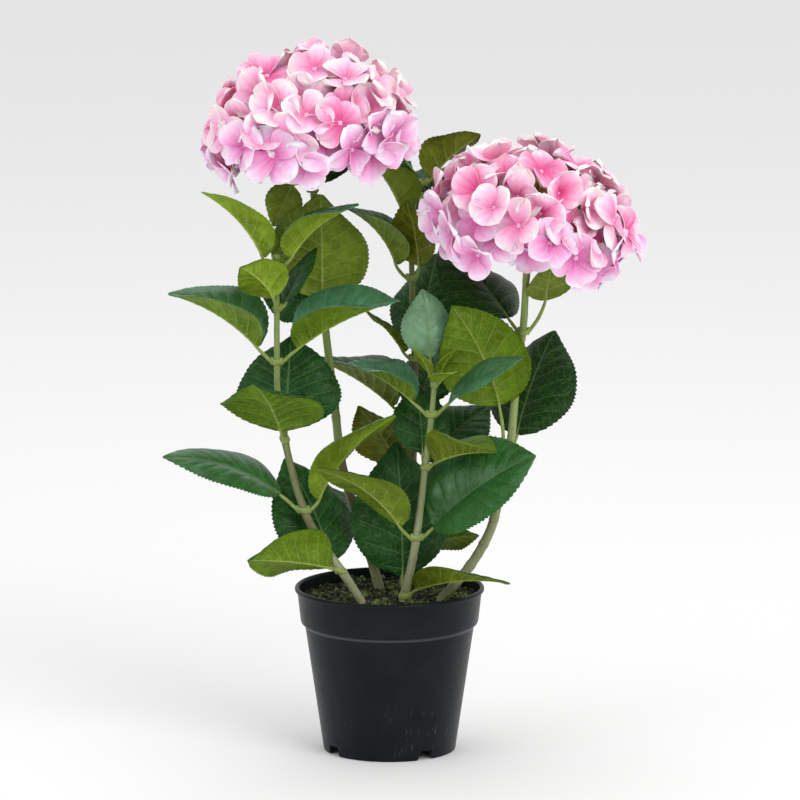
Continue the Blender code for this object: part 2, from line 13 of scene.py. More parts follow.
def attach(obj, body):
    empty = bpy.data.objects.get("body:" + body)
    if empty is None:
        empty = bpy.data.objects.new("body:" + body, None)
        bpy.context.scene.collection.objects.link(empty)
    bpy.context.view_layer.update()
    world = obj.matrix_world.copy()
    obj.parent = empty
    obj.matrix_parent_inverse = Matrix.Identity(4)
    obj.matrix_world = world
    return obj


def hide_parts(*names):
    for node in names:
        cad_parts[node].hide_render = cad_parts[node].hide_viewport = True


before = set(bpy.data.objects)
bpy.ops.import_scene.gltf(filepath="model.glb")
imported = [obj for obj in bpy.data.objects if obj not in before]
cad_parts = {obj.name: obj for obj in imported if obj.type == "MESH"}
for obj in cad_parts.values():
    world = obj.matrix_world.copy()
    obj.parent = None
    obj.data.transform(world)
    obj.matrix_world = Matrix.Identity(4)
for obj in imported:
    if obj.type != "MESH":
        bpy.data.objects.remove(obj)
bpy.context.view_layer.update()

bl_info = {
    "name": "Potted hydrangea",
    "version": (1, 0, 0),
    "blender": (4, 5, 0),
    "location": "3D View > Sidebar > Hydrangea",
    "description": "Builds the pot, moss, stems, leaves and flower heads of an artificial hydrangea",
    "category": "Object",
}

MM = 0.001
PER_METRE = 1000
GAP = 0.35

# Pot and fill
RIM_RADIUS = 75.0
POT_HEIGHT = 131.0
RIM_BEAD = 2.6
COLLAR_HEIGHT = 31.0
POT_STEP = POT_HEIGHT - COLLAR_HEIGHT
COLLAR_FOOT_RADIUS = 70.4
BODY_TOP_RADIUS = 67.0
FOOT_RADIUS = 52.2
WALL = 1.8
FLOOR_HEIGHT = 9.0
FLOOR_TOP = FLOOR_HEIGHT + WALL + 0.4
FOOT_RING_WIDTH = 4.0
BOSS_RADIUS = 20.0
NOTCH_WIDTH = 13.0
NOTCH_HEIGHT = 7.5
NOTCH_AZIMUTHS = (213, 303, 33, 123)
SOIL_LEVEL = 122.6
FILL_CLEAR = WALL + GAP

# Stems: points of the centre line, base and tip radius, heights of old leaf scars
STEMS = {
    "a": dict(
        path=((-22, -24, 123), (-38, -27, 149), (-55, -29, 174), (-67, -30, 198), (-79, -31, 240),
              (-87, -31, 286), (-88, -30, 316), (-88, -28, 359), (-88, -27, 402)),
        base=3.4, tip=1.9, scars=()),
    "b": dict(
        path=((-8, 28, 123), (-18, 27, 159), (-27, 26, 185), (-38, 24, 226), (-44, 22, 278),
              (-50, 20, 329), (-56, 16, 390), (-60, 12, 452)),
        base=3.9, tip=2.6, scars=(262, 274)),
    "c": dict(
        path=((11, -20, 123), (18, -20, 156), (21, -21, 174), (25, -22, 204), (28, -23, 231),
              (33, -24, 273), (36, -24, 307)),
        base=3.5, tip=1.9, scars=()),
    "d": dict(
        path=((11, 38, 123), (15, 40, 169), (18, 41, 209), (19, 42, 257), (20, 44, 304),
              (18, 46, 360), (18, 48, 420), (27, 50, 449)),
        base=3.6, tip=1.9, scars=()),
    "e": dict(
        path=((41, -15, 123), (62, -14, 148), (74, -13, 167), (82, -12, 186), (89, -11, 218),
              (95, -10, 247), (98, -9, 276), (101, -8, 314), (105, -8, 340), (107, -8, 376)),
        base=3.9, tip=2.7, scars=(150, 168, 188)),
}

# What a leaf has unless the table says otherwise: its petiole's length and lift, the blade's swing,
# roll, arch and fold, and the tones of its upper and under side
LEAF = dict(petiole=12, lift=45, swing=0, roll=0, arch=25, fold=28, top="deep", under="spring")


def leaf(head, rise, long, wide, **given):
    """Heading and rise in degrees, length and width of the blade, and what differs from LEAF."""
    return dict(LEAF, head=head, rise=rise, long=long, wide=wide, **given)


# Leaf pairs, named for their stem: height of the node on it and the two leaves
PAIRS = {
    "a1": (149, leaf(213, 11, 80, 62, roll=-50, fold=56, petiole=5, arch=12),
           leaf(140, 57, 92, 74, roll=14, fold=12, petiole=8)),
    "a2": (198, leaf(187, 18, 100, 58, roll=20, fold=22, petiole=20, arch=44, top="rich"),
           leaf(2, 47, 92, 58, roll=26, fold=46, petiole=11, arch=42, top="sea", under="lime")),
    "a3": (255, leaf(250, 40, 72, 84, roll=-3, fold=30, petiole=8, lift=70, under="fern"),
           leaf(82, 69, 76, 84, fold=14, petiole=8)),
    "a4": (316, leaf(170, 29, 84, 68, roll=3, fold=80, petiole=16, arch=36, top="rich"),
           leaf(350, 26, 92, 72, roll=-10, fold=80, petiole=17, top="sea")),
    "a5": (358, leaf(262, 42, 41, 45, swing=-55, roll=-52, fold=50, petiole=11, lift=62, arch=40,
                     under="lime"),
           leaf(28, 56, 50, 32, petiole=7, arch=20)),
    "a6": (390, leaf(186, 47, 74, 46, roll=-14, fold=74, petiole=11, arch=40, top="lime", under="lime"),
           leaf(346, 38, 72, 56, fold=62, arch=44, top="sea", under="lime")),
    "a7": (399.5, leaf(40, 62, 40, 26, fold=50, petiole=6, top="fern", under="fern"),
           leaf(140, 80, 24, 13, petiole=2, lift=80, top="lime", under="khaki")),
    "b1": (352, leaf(265, 81, 87, 78, fold=10, petiole=8, lift=72, under="khaki"),
           leaf(172, 8, 40, 44, roll=50, petiole=5, lift=10)),
    "b2": (446, leaf(190, -66, 36, 30, petiole=15, lift=48, arch=10, roll=70, top="khaki",
                     under="khaki"),
           leaf(55, 30, 36, 34, petiole=6)),
    "c1": (127, leaf(102, 77, 106, 80, fold=12, petiole=16, lift=78),
           leaf(322, 10, 96, 48, petiole=9, lift=58, roll=20, fold=48, under="olive")),
    "c2": (174, leaf(206, 35, 92, 54, petiole=14, roll=-22, fold=40, arch=42, under="khaki"),
           leaf(343, 36, 104, 92, roll=-46, fold=46, petiole=15, top="rich")),
    "c3": (231, leaf(318, 14, 66, 60, petiole=8, fold=70, roll=12, top="fern", under="olive"),
           leaf(100, 62, 58, 46)),
    "c4": (273, leaf(175, 30, 60, 54, roll=4, fold=68, petiole=15, top="sea"),
           leaf(334, 32, 76, 46, roll=-24, fold=34, petiole=17, top="sea")),
    "c5": (297, leaf(118, 76, 54, 44, roll=10, fold=12, petiole=22, lift=80, top="mist"),
           leaf(300, 24, 34, 28, petiole=4, fold=40, top="lime", under="lime")),
    "c6": (304.5, leaf(222, 52, 28, 16, petiole=3, top="lime", under="lime"),
           leaf(312, 50, 28, 16, petiole=4, top="lime", under="lime")),
    "d1": (150, leaf(348, 12, 48, 46, petiole=10, roll=38),
           leaf(150, 32, 74, 52, petiole=10)),
    "d2": (212, leaf(196, 56, 60, 60, fold=14, roll=-35, top="bronze", under="bronze"),
           leaf(32, 34, 72, 62, petiole=14, roll=-25)),
    "d3": (256, leaf(172, 30, 74, 90, roll=-4, fold=60, petiole=16, under="olive"),
           leaf(70, 38, 70, 52)),
    "d4": (306, leaf(205, 46, 52, 36, petiole=8, fold=36, under="olive"),
           leaf(72, 54, 84, 60, fold=14, petiole=10)),
    "d5": (370, leaf(186, 48, 64, 52, fold=72, arch=50, petiole=14, under="khaki"),
           leaf(306, 71, 58, 42, swing=-70, fold=8, petiole=13, lift=56, under="bronze")),
    "d6": (418, leaf(190, 57, 56, 50, petiole=6, roll=-14, fold=84, under="khaki"),
           leaf(78, 30, 56, 38, petiole=7)),
    "d7": (434, leaf(22, 26, 46, 32, petiole=5, roll=-14),
           leaf(140, 60, 44, 28, petiole=10, lift=40)),
    "d8": (445.5, leaf(190, 58, 28, 24, petiole=3, top="fern", under="fern"),
           leaf(355, 42, 54, 50, roll=36, fold=64, petiole=5, under="olive")),
    "e1": (247, leaf(194, 64, 92, 74, fold=10, petiole=32, lift=86, roll=-72),
           leaf(56, 54, 94, 78, fold=14, petiole=8, top="dusk")),
    "e2": (336, leaf(20, 70, 34, 42, swing=-80, arch=20, fold=14, petiole=29, lift=52, top="khaki",
                     under="khaki"),
           leaf(140, 36, 88, 78, fold=12, petiole=14, top="dusk")),
}
LEAF_BROADEST = 0.395
LEAF_FULLNESS = 0.62
FOLD_FADE = 0.6
MARGIN_CURL = 0.35
COLLAR_THICK = 1.1
COLLAR_TALL = 4.6
PETIOLE_RADIUS = 1.25
PETIOLE_CLEAR = 0.35
PETIOLE_DROP = 0.6

# The stem at the back is darker than the others: painted shade
BACK_STEM = "d"
BACK_PAINTED_SHADE = 0.7

# Where each stem is brown, partly its own brown and partly painted shade under the leaves: lowest and
# highest height in metres, and how much of the brown shows
BROWN_AND_SHADE_STRETCH = {
    "a": (0.170, 0.262, 0.55),
    "b": (0.146, 0.232, 1.0),
    "c": (0.120, 0.150, 0.25),
    "d": (0.130, 0.345, 0.85),
    "e": (0.140, 0.200, 0.3),
}

# Flower heads: stem, then centre, half width, half height and tilt of the shell of floret centres,
# where on it the first floret stands and how far down from the top the last ones are, in degrees
HEADS = {
    "left": dict(stem="b", centre=(-62, 2, 497), across=74, tall=55, tilt=-7, turn=20, low=116),
    "right": dict(stem="e", centre=(111, -14, 424), across=75, tall=56, tilt=11, turn=75, low=118),
}
CORE_SHARE = 0.60


def from_screen(red, green, blue):
    """A colour picked on screen (0 to 255) as linear light."""
    shares = [channel / 255 for channel in (red, green, blue)]
    return tuple(s / 12.92 if s <= 0.04045 else ((s + 0.055) / 1.055) ** 2.4 for s in shares)


# Shading

class Wire:
    """A shader socket with arithmetic: an expression on values adds its Math nodes."""

    def __init__(self, tree, socket):
        self.tree = tree
        self.socket = socket

    def feed(self, place):
        self.tree.links.new(self.socket, place)

    def math(self, operation, *values):
        node = self.tree.nodes.new("ShaderNodeMath")
        node.operation = operation
        for place, value in zip(node.inputs, values):
            if isinstance(value, Wire):
                value.feed(place)
            else:
                place.default_value = value
        return Wire(self.tree, node.outputs[0])

    def __add__(self, other):
        return self.math("ADD", self, other)

    def __radd__(self, other):
        return self.math("ADD", other, self)

    def __sub__(self, other):
        return self.math("SUBTRACT", self, other)

    def __rsub__(self, other):
        return self.math("SUBTRACT", other, self)

    def __mul__(self, other):
        return self.math("MULTIPLY", self, other)

    def __rmul__(self, other):
        return self.math("MULTIPLY", other, self)

    def ramp(self, low, high):
        """0 below low and 1 above high, smooth between."""
        node = self.tree.nodes.new("ShaderNodeMapRange")
        node.interpolation_type = "SMOOTHSTEP"
        self.feed(node.inputs["Value"])
        node.inputs["From Min"].default_value = low
        node.inputs["From Max"].default_value = high
        return Wire(self.tree, node.outputs["Result"])


class Finish:
    """A material being written: one method adds any node, others the mixes that are used."""

    def __init__(self, name, **constants):
        self.material = bpy.data.materials.new(name)
        self.material.use_nodes = True
        self.tree = self.material.node_tree
        self.shader = self.tree.nodes["Principled BSDF"]
        for socket, value in constants.items():
            self.set(socket.replace("_", " "), value)

    def set(self, socket, value):
        """Gives the shader's socket a value or a link."""
        self.put(self.shader.inputs[socket], value)

    def put(self, place, value):
        if isinstance(value, Wire):
            value.feed(place)
        elif hasattr(value, "__len__") and len(value) < len(place.default_value):
            place.default_value = (*value, 1.0)
        else:
            place.default_value = value

    def add(self, kind, settings, inputs, output=0):
        """A node of a kind: its settings first, then the values or links of its inputs."""
        node = self.tree.nodes.new("ShaderNode" + kind)
        for key, value in settings.items():
            setattr(node, key, value)
        for key, value in inputs.items():
            self.put(node.inputs[key], value)
        return Wire(self.tree, node.outputs[output])

    def place(self, stretch=(1, 1, 1)):
        """The piece's own coordinates in metres, stretched."""
        spot = self.add("TexCoord", {}, {}, "Object")
        return self.add("VectorMath", {"operation": "MULTIPLY"}, {0: spot, 1: stretch})

    def axis(self, letter):
        return self.add("SeparateXYZ", {}, {0: self.place()}, letter)

    def noise(self, scale, detail, stretch=(1, 1, 1), output=0):
        """A cloud of 0 to 1, or with output 1 of three such numbers."""
        inputs = {"Vector": self.place(stretch), "Scale": scale, "Detail": detail}
        return self.add("TexNoise", {}, inputs, output)

    def drift(self, scale, reach):
        """A slow random shift of place, up to half the reach each way."""
        cloud = self.noise(scale, 2, output=1)
        level = self.add("VectorMath", {"operation": "SUBTRACT"}, {0: cloud, 1: (0.5, 0.5, 0.5)})
        return self.add("VectorMath", {"operation": "MULTIPLY"}, {0: level, 1: (reach, reach, reach)})

    def mix(self, share, low, high):
        return self.add("Mix", {"data_type": "RGBA"}, {0: share, 6: low, 7: high}, 2)

    def relief(self, height, depth, strength):
        """Bumps of the skin: where their height is 1 they stand the depth, in metres, over it."""
        bump = self.add("Bump", {}, {"Height": height, "Distance": depth, "Strength": strength})
        self.set("Normal", bump)


def scaled(colour, factor):
    return tuple(min(1.0, channel * factor) for channel in colour)


def pot_finish(look):
    """Black moulded plastic with a satin skin, fine grain, pale scuffs low down and a painted highlight
    along the step.
    """
    made = Finish("pot_black_plastic", Specular_IOR_Level=0.13)
    height = made.axis("Z")
    cloud = made.noise(38, 3)
    colour = made.mix(cloud.ramp(0.3, 0.75), look.shell, scaled(look.shell, 1.7))
    scratches = made.noise(420, 3, (1, 1, 0.16)).ramp(0.60, 0.72)
    patches = made.noise(30, 2).ramp(0.45, 0.62)
    low = 1 - height.ramp(0.012, 0.055)
    colour = made.mix(scratches * patches * low * 0.5, colour, look.scuff_and_highlight)
    # A pale band along the step under the collar, in the scuff colour, is a painted highlight.
    step = POT_STEP * MM
    highlit = height.ramp(step - 0.0012, step - 0.0005) * (1 - height.ramp(step + 0.0012, step + 0.0022))
    colour = made.mix(highlit * (0.25 + 0.3 * cloud), colour, look.scuff_and_highlight)
    made.set("Base Color", colour)
    made.set("Roughness", 0.30 + 0.14 * made.noise(90, 4) + 0.12 * scratches * low)
    grain = made.noise(1400, 2)
    flow = made.noise(26, 2, (1, 1, 0.5))
    made.relief(grain * 0.25 + flow, 0.0004, 0.55)
    return made.material


def grainy_finish(name, colour, scale, shades, rough, depth, strength, **constants):
    """One tone between a darker and a lighter shade, over a fine grain that also roughens it."""
    made = Finish(name, **constants)
    grain = made.noise(scale, 3)
    dark, light = shades
    made.set("Base Color", made.mix(grain.ramp(0.3, 0.7), scaled(colour, dark), scaled(colour, light)))
    made.set("Roughness", rough[0] + rough[1] * grain)
    made.relief(grain, depth, strength)
    return made.material


def crumb_finish(name, colour):
    """One tone of dry moss or peat, or the darkest tone, which is painted shade."""
    return grainy_finish("moss_" + name, colour, 900, (0.6, 1.35), (0.82, 0.15), 0.0005, 0.8)


def stem_finish(key, look, low, high):
    """Moulded stem: grey-green below, yellow-green above, with a brown stretch that is partly painted shade,
    flecks and streaks.
    """
    made = Finish("stem_%s_skin" % key, Specular_IOR_Level=0.3)
    height = made.axis("Z")
    streaks = made.noise(700, 4, (1, 1, 0.06))
    start, end, amount = BROWN_AND_SHADE_STRETCH[key]
    stretch = height.ramp(start - 0.012, start + 0.006) * (1 - height.ramp(end - 0.006, end + 0.02))
    colour = made.mix(height.ramp(0.15, 0.34), low, high)
    # The brown stretch is partly the stem's own brown and partly painted shade under the leaves.
    colour = made.mix(stretch * (0.75 + 0.25 * streaks.ramp(0.3, 0.6)) * amount, colour, look.brown)
    colour = made.mix(streaks.ramp(0.42, 0.75) * 0.55, colour, scaled(low, 0.55))
    flecks = made.noise(620, 2, (1, 1, 0.4)).ramp(0.62, 0.68) * made.noise(120, 2).ramp(0.42, 0.6)
    colour = made.mix(flecks * (1 - height.ramp(0.24, 0.4)) * 0.8, colour, look.fleck)
    made.set("Base Color", colour)
    made.set("Roughness", 0.46 + 0.22 * streaks)
    made.relief(streaks + flecks * 0.6, 0.0003, 0.6)
    return made.material


def blade_finish(name, colour, pale, rough, glossy):
    """One tone of leaf: fine cells and a net of pale veinlets under a skin that shines bluish."""
    made = Finish("leaf_" + name, Coat_Roughness=0.24, Coat_Tint=(0.8, 0.93, 1.0),
                  Specular_IOR_Level=0.28 if glossy else 0.14)
    cells = made.add("TexVoronoi", {"feature": "DISTANCE_TO_EDGE"},
                     {"Vector": made.place(), "Scale": 620.0}, 0)
    warped = made.add("VectorMath", {"operation": "ADD"}, {0: made.place(), 1: made.drift(90, 0.004)})
    net = made.add("TexVoronoi", {"feature": "DISTANCE_TO_EDGE"}, {"Vector": warped, "Scale": 190.0}, 0)
    cloud = made.noise(55, 3)
    colour_now = made.mix(cloud.ramp(0.3, 0.72), scaled(colour, 0.76), scaled(colour, 1.24))
    colour_now = made.mix((1 - cells.ramp(0.0, 0.16)) * 0.16, colour_now, scaled(colour, 1.6))
    fleck = made.noise(360, 4)
    patch = made.noise(140, 2)
    colour_now = made.mix(patch.ramp(0.58, 0.38) * 0.35, colour_now, scaled(colour, 0.55))
    colour_now = made.mix(fleck.ramp(0.54, 0.72) * patch.ramp(0.35, 0.6) * 0.55, colour_now, pale)
    colour_now = made.mix((1 - net.ramp(0.01, 0.07)) * 0.30, colour_now, pale)
    made.set("Base Color", colour_now)
    made.set("Roughness", rough + 0.16 * cloud)
    made.set("Coat Weight", (0.75 if glossy else 0.05) * cloud.ramp(0.3, 0.75))
    made.relief(cells.ramp(0.0, 0.3) + 3.0 * made.noise(190, 2) + 1.5 * net.ramp(0.0, 0.2), 0.0003, 0.4)
    return made.material


def rib_finish(name, colour):
    """A vein, petiole or collar in one tone."""
    return grainy_finish("rib_" + name, colour, 380, (0.82, 1.12), (0.44, 0.14), 0.0002, 0.35,
                         Specular_IOR_Level=0.3)


def petal_finish(name, colour):
    """Dyed cloth petal in one tone, with a faint weave."""
    made = Finish("petal_" + name, Subsurface_Weight=0.6, Subsurface_Radius=(1.0, 0.15, 0.4),
                  Subsurface_Scale=0.0008, Specular_IOR_Level=0.2)
    weave = made.noise(1500, 1)
    tint = made.noise(70, 2)
    made.set("Base Color", made.mix(tint.ramp(0.3, 0.7), scaled(colour, 0.965), scaled(colour, 1.03)))
    made.set("Roughness", 0.62 + 0.1 * weave)
    made.relief(weave, 0.00015, 0.35)
    return made.material


def soft_finish(name, colour, rough):
    """A plain soft tone with a fine grainy skin, for beads, flower stalks and hearts."""
    return grainy_finish("soft_" + name, colour, 800, (0.75, 1.2), (rough, 0.1), 0.0003, 0.6)


def floor_finish(look):
    """A pale floor with hardly a cloud in it."""
    made = Finish("studio_floor")
    cloud = made.noise(1.5, 2)
    made.set("Base Color", made.mix(cloud, look.floor, scaled(look.floor, 1.01)))
    made.set("Roughness", 0.85 + 0.05 * cloud)
    return made.material


# Meshes

def placed(name, data):
    """A new object in the scene."""
    made = bpy.data.objects.new(name, data)
    bpy.context.scene.collection.objects.link(made)
    return made


def aim_from(made, spot, way):
    """Puts a light or a camera at a spot, looking along a way."""
    made.location = spot
    made.rotation_mode = "QUATERNION"
    made.rotation_quaternion = way.to_track_quat("-Z", "Y")


class Shape:
    """Points in millimetres and faces with a material each, gathered and then made one piece."""

    def __init__(self):
        self.points = []
        self.faces = []
        self.looks = []
        self.count = 0

    def add(self, points, faces, looks):
        """Points as rows of x y z, faces as index tuples, looks as one number or one per face."""
        start = self.count
        self.points.append(np.asarray(points, float).reshape(-1, 3))
        self.count += len(self.points[-1])
        self.faces.extend(tuple(start + k for k in face) for face in faces)
        self.looks.extend([looks] * len(faces) if isinstance(looks, int) else looks)

    def piece(self, name, materials, smooth=52.0):
        """An object of the gathered faces, shaded smooth where they meet at less than that angle."""
        data = bpy.data.meshes.new(name)
        data.from_pydata((np.concatenate(self.points) * MM).tolist(), [], self.faces)
        for material in materials:
            data.materials.append(material)
        data.polygons.foreach_set("material_index", self.looks)
        data.polygons.foreach_set("use_smooth", [True] * len(self.faces))
        data.set_sharp_from_angle(angle=math.radians(smooth))
        data.update()
        return placed(name, data)


def settle(piece, slot, *nodes):
    """The piece rides on the one body and stands for the nodes; the slot is not used."""
    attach(piece, "root")
    if nodes:
        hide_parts(*nodes)


def turned_outward(piece):
    """Makes every face of a closed piece look outward."""
    shape = bmesh.new()
    shape.from_mesh(piece.data)
    bmesh.ops.recalc_face_normals(shape, faces=shape.faces)
    shape.to_mesh(piece.data)
    shape.free()


def ring_quads(rings, sides):
    """Quads between rings of points that follow one another, seen from outside."""
    quads = []
    for i in range(rings - 1):
        for k in range(sides):
            n = (k + 1) % sides
            quads.append((i * sides + k, i * sides + n, (i + 1) * sides + n, (i + 1) * sides + k))
    return quads


def closed_quads(rings, sides):
    """The quads between the rings and a face over each end."""
    last = (rings - 1) * sides
    return ring_quads(rings, sides) + [tuple(range(sides))[::-1], tuple(range(last, last + sides))]


def angles_round(sides):
    return np.linspace(0, 2 * math.pi, sides, endpoint=False)


def unit(rows):
    return rows / np.linalg.norm(rows, axis=1)[:, None]


def ring_about(along, side, angle):
    """Circles of radius 1 across a path, one at each of its points, that begin at the side given."""
    other = np.cross(along, side)
    return np.cos(angle)[None, :, None] * side[:, None] + np.sin(angle)[None, :, None] * other[:, None]


def tube(shape, path, radii, sides, look):
    """A closed round tube along a path."""
    path = np.asarray(path, float)
    along = unit(np.gradient(path, axis=0))
    guide = np.array((0, 0, 1.0)) if abs(along[0][2]) < 0.8 else np.array((1.0, 0, 0))
    ring = ring_about(along, unit(np.cross(along, guide)), angles_round(sides))
    points = path[:, None] + ring * np.asarray(radii, float)[:, None, None]
    shape.add(points, closed_quads(len(path), sides), look)


def closed_sheet(shape, top, under, tip, look_top, look_under, look_edge):
    """A thin closed blade from two grids of points, upper and under, that meet at one tip point."""
    rows, across = top.shape[:2]
    half = rows * across
    points = np.concatenate((top.reshape(-1, 3), under.reshape(-1, 3), tip[None]))
    faces = []
    looks = []
    for i in range(rows - 1):
        for j in range(across - 1):
            a = i * across + j
            faces.append((a, a + 1, a + 1 + across, a + across))
            looks.append(int(look_top[i][j]))
            b = half + a
            faces.append((b, b + across, b + 1 + across, b + 1))
            looks.append(int(look_under[i][j]))
    apex = 2 * half
    end = (rows - 1) * across
    for j in range(across - 1):
        faces.append((end + j, end + j + 1, apex))
        looks.append(int(look_top[-1][j]))
        faces.append((half + end + j + 1, half + end + j, apex))
        looks.append(int(look_under[-1][j]))
        faces.append((j + 1, j, half + j, half + j + 1))
        looks.append(look_edge)
    for i in range(rows - 1):
        a = i * across
        faces.append((a, a + across, half + a + across, half + a))
        b = a + across - 1
        faces.append((b + across, b, half + b, half + b + across))
        looks += [look_edge, look_edge]
    faces.append((end, apex, half + end))
    b = end + across - 1
    faces.append((apex, b, half + b))
    looks += [look_edge, look_edge]
    shape.add(points, faces, looks)


def grid_normals(points):
    """Unit normals of a grid of points, on the side where columns run to the right of the rows."""
    normal = np.cross(np.gradient(points, axis=1), np.gradient(points, axis=0))
    size = np.linalg.norm(normal, axis=2, keepdims=True)
    return normal / np.maximum(size, 1e-9)


def carried(points, place):
    """Rows of x y z moved by a 4 x 4 matrix."""
    world = np.array(place)
    return points @ world[:3, :3].T + world[:3, 3]


def smooth_run(points, steps=10):
    """A smooth run through the given points (Catmull-Rom)."""
    knots = [Vector(p) for p in points]
    knots = [2 * knots[0] - knots[1]] + knots + [2 * knots[-1] - knots[-2]]
    run = []
    for i in range(1, len(knots) - 2):
        p0, p1, p2, p3 = knots[i - 1:i + 3]
        for k in range(steps):
            t = k / steps
            run.append(0.5 * (2 * p1 + (p2 - p0) * t + (2 * p0 - 5 * p1 + 4 * p2 - p3) * t * t
                              + (3 * p1 - p0 - 3 * p2 + p3) * t ** 3))
    run.append(knots[-2])
    return run


# Pot

POT_CREASE = 38


def rounded(corners, steps=4):
    """A profile of (radius, height, rounding) corners as points, each corner rounded."""
    spots = [Vector(c[:2]) for c in corners]
    run = []
    for i, (corner, given) in enumerate(zip(spots, corners)):
        if given[2] == 0 or i in (0, len(spots) - 1):
            run.append(corner)
            continue
        back = spots[i - 1] - corner
        on = spots[i + 1] - corner
        start = corner + back.normalized() * min(given[2], back.length * 0.45)
        end = corner + on.normalized() * min(given[2], on.length * 0.45)
        for k in range(steps + 1):
            t = k / steps
            run.append(start * (1 - t) ** 2 + corner * 2 * t * (1 - t) + end * t * t)
    return run


def turned(shape, profile, sides, look):
    """A closed solid turned from a profile that begins and ends on the axis."""
    rings = [[(p.x * math.cos(a), p.x * math.sin(a), p.y) for a in angles_round(sides)]
             for p in profile[1:-1]]
    points = [p for ring in rings for p in ring]
    points += [(0, 0, profile[0].y), (0, 0, profile[-1].y)]
    faces = ring_quads(len(rings), sides)
    first = len(rings) * sides
    for k in range(sides):
        n = (k + 1) % sides
        faces.append((first, n, k))
        faces.append((first + 1, first - sides + k, first - sides + n))
    shape.add(points, faces, look)


def pot_radius(height):
    """Outer radius of the tapering body at a height."""
    return FOOT_RADIUS + (BODY_TOP_RADIUS - FOOT_RADIUS) * height / POT_STEP


def pot_profile():
    """Half of the pot's cut, from the middle of its underside out, up over the rim and down inside."""
    step = POT_STEP
    inner = FOOT_RADIUS - FOOT_RING_WIDTH
    lip = RIM_RADIUS - RIM_BEAD
    corners = [(0, 0, 0), (BOSS_RADIUS, 0, 0.8), (BOSS_RADIUS + 1, FLOOR_HEIGHT, 1.2),
               (inner + 1, FLOOR_HEIGHT, 1.2), (inner, 0, 0.7), (FOOT_RADIUS, 0, 0.9),
               (BODY_TOP_RADIUS - 0.3, step - 1.5, 0.3), (BODY_TOP_RADIUS, step, 0.3),
               (COLLAR_FOOT_RADIUS - 0.6, step + 2.2, 0.5), (COLLAR_FOOT_RADIUS, step + 4.0, 1.0),
               (lip + 0.6, POT_HEIGHT - 3.7, 0.6), (RIM_RADIUS - 0.1, POT_HEIGHT - 3.3, 0.9),
               (RIM_RADIUS, POT_HEIGHT - 1.2, 1.0), (RIM_RADIUS - 1.0, POT_HEIGHT, 0.9),
               (RIM_RADIUS - 2.8, POT_HEIGHT, 0.9), (RIM_RADIUS - 3.6, POT_HEIGHT - 1.4, 0.9),
               (COLLAR_FOOT_RADIUS - WALL, step + 2.5, 1.0), (BODY_TOP_RADIUS - WALL, step - 1.0, 0.8),
               (pot_radius(FLOOR_TOP) - WALL, FLOOR_TOP, 2.0), (0, FLOOR_TOP, 0)]
    return rounded(corners)


def notch_cutter(azimuth):
    """A block that cuts one foot notch: slanted sides, rounded top corners and a flared mouth."""
    shape = Shape()
    half = NOTCH_WIDTH / 2
    outline = [(half + 1.2, -2), (half + 1.2, 0), (half, 1.3), (0.86 * half, NOTCH_HEIGHT - 0.9),
               (0.74 * half, NOTCH_HEIGHT)]
    outline += [(-y, z) for y, z in outline[::-1]]
    spin = math.radians(azimuth)
    points = []
    for reach in (FOOT_RADIUS - FOOT_RING_WIDTH - 3, FOOT_RADIUS + 6):
        for y, z in outline:
            points.append((reach * math.cos(spin) - y * math.sin(spin),
                           reach * math.sin(spin) + y * math.cos(spin), z))
    count = len(outline)
    faces = [tuple(range(count)), tuple(range(count, 2 * count))[::-1]]
    faces += [(k, k + count, (k + 1) % count + count, (k + 1) % count) for k in range(count)]
    shape.add(points, faces, 0)
    made = shape.piece("notch_%d" % azimuth, [])
    turned_outward(made)
    return made


def cut(piece, cutters):
    """One exact Boolean difference of the piece with all the cutters, which are then removed."""
    group = bpy.data.collections.new("cutters")
    for item in cutters:
        group.objects.link(item)
    step = piece.modifiers.new("cut", "BOOLEAN")
    step.operation = "DIFFERENCE"
    step.operand_type = "COLLECTION"
    step.collection = group
    bpy.context.view_layer.update()
    seen = piece.evaluated_get(bpy.context.evaluated_depsgraph_get())
    made = bpy.data.meshes.new_from_object(seen)
    piece.modifiers.clear()
    piece.data = made
    for item in cutters:
        bpy.data.objects.remove(item, do_unlink=True)
    bpy.data.collections.remove(group)


def make_pot(look):
    """The turned shell with its foot notches cut through."""
    shape = Shape()
    turned(shape, pot_profile(), look.sides, 0)
    pot = shape.piece("pot_shell", [pot_finish(look)])
    turned_outward(pot)
    cut(pot, [notch_cutter(azimuth) for azimuth in NOTCH_AZIMUTHS])
    pot.data.polygons.foreach_set("use_smooth", [True] * len(pot.data.polygons))
    pot.data.set_sharp_from_angle(angle=math.radians(POT_CREASE))
    settle(pot, "pot_plastic", "pot")


# Moss

# The last, darkest tone is painted shade: the whole bed under the crumbs takes it, and so do the lowest
# grains.
MOSS_TONES = ("green", "olive", "peat", "dark")
BED_RINGS = 26
BED_SIDES = 110
BED_DROP = 1.4
CRUMB_SEED = 11

# What chance may do: a crumb's size as a share, its rise in millimetres, its corners, its stretch
CRUMB_SIZES = (0.45, 1.25)
CRUMB_RISE = (-0.8, 1.7)
CRUMB_LUMPS = (0.62, 1.3)
CRUMB_STRETCH = (0.6, 1.2)


def fill_edge():
    """Radius of the fill at the level of its moss."""
    slope = (RIM_RADIUS - 3.4 - COLLAR_FOOT_RADIUS + WALL) / (COLLAR_HEIGHT - 3.3)
    return COLLAR_FOOT_RADIUS - FILL_CLEAR + slope * (SOIL_LEVEL - POT_STEP - 4.5)


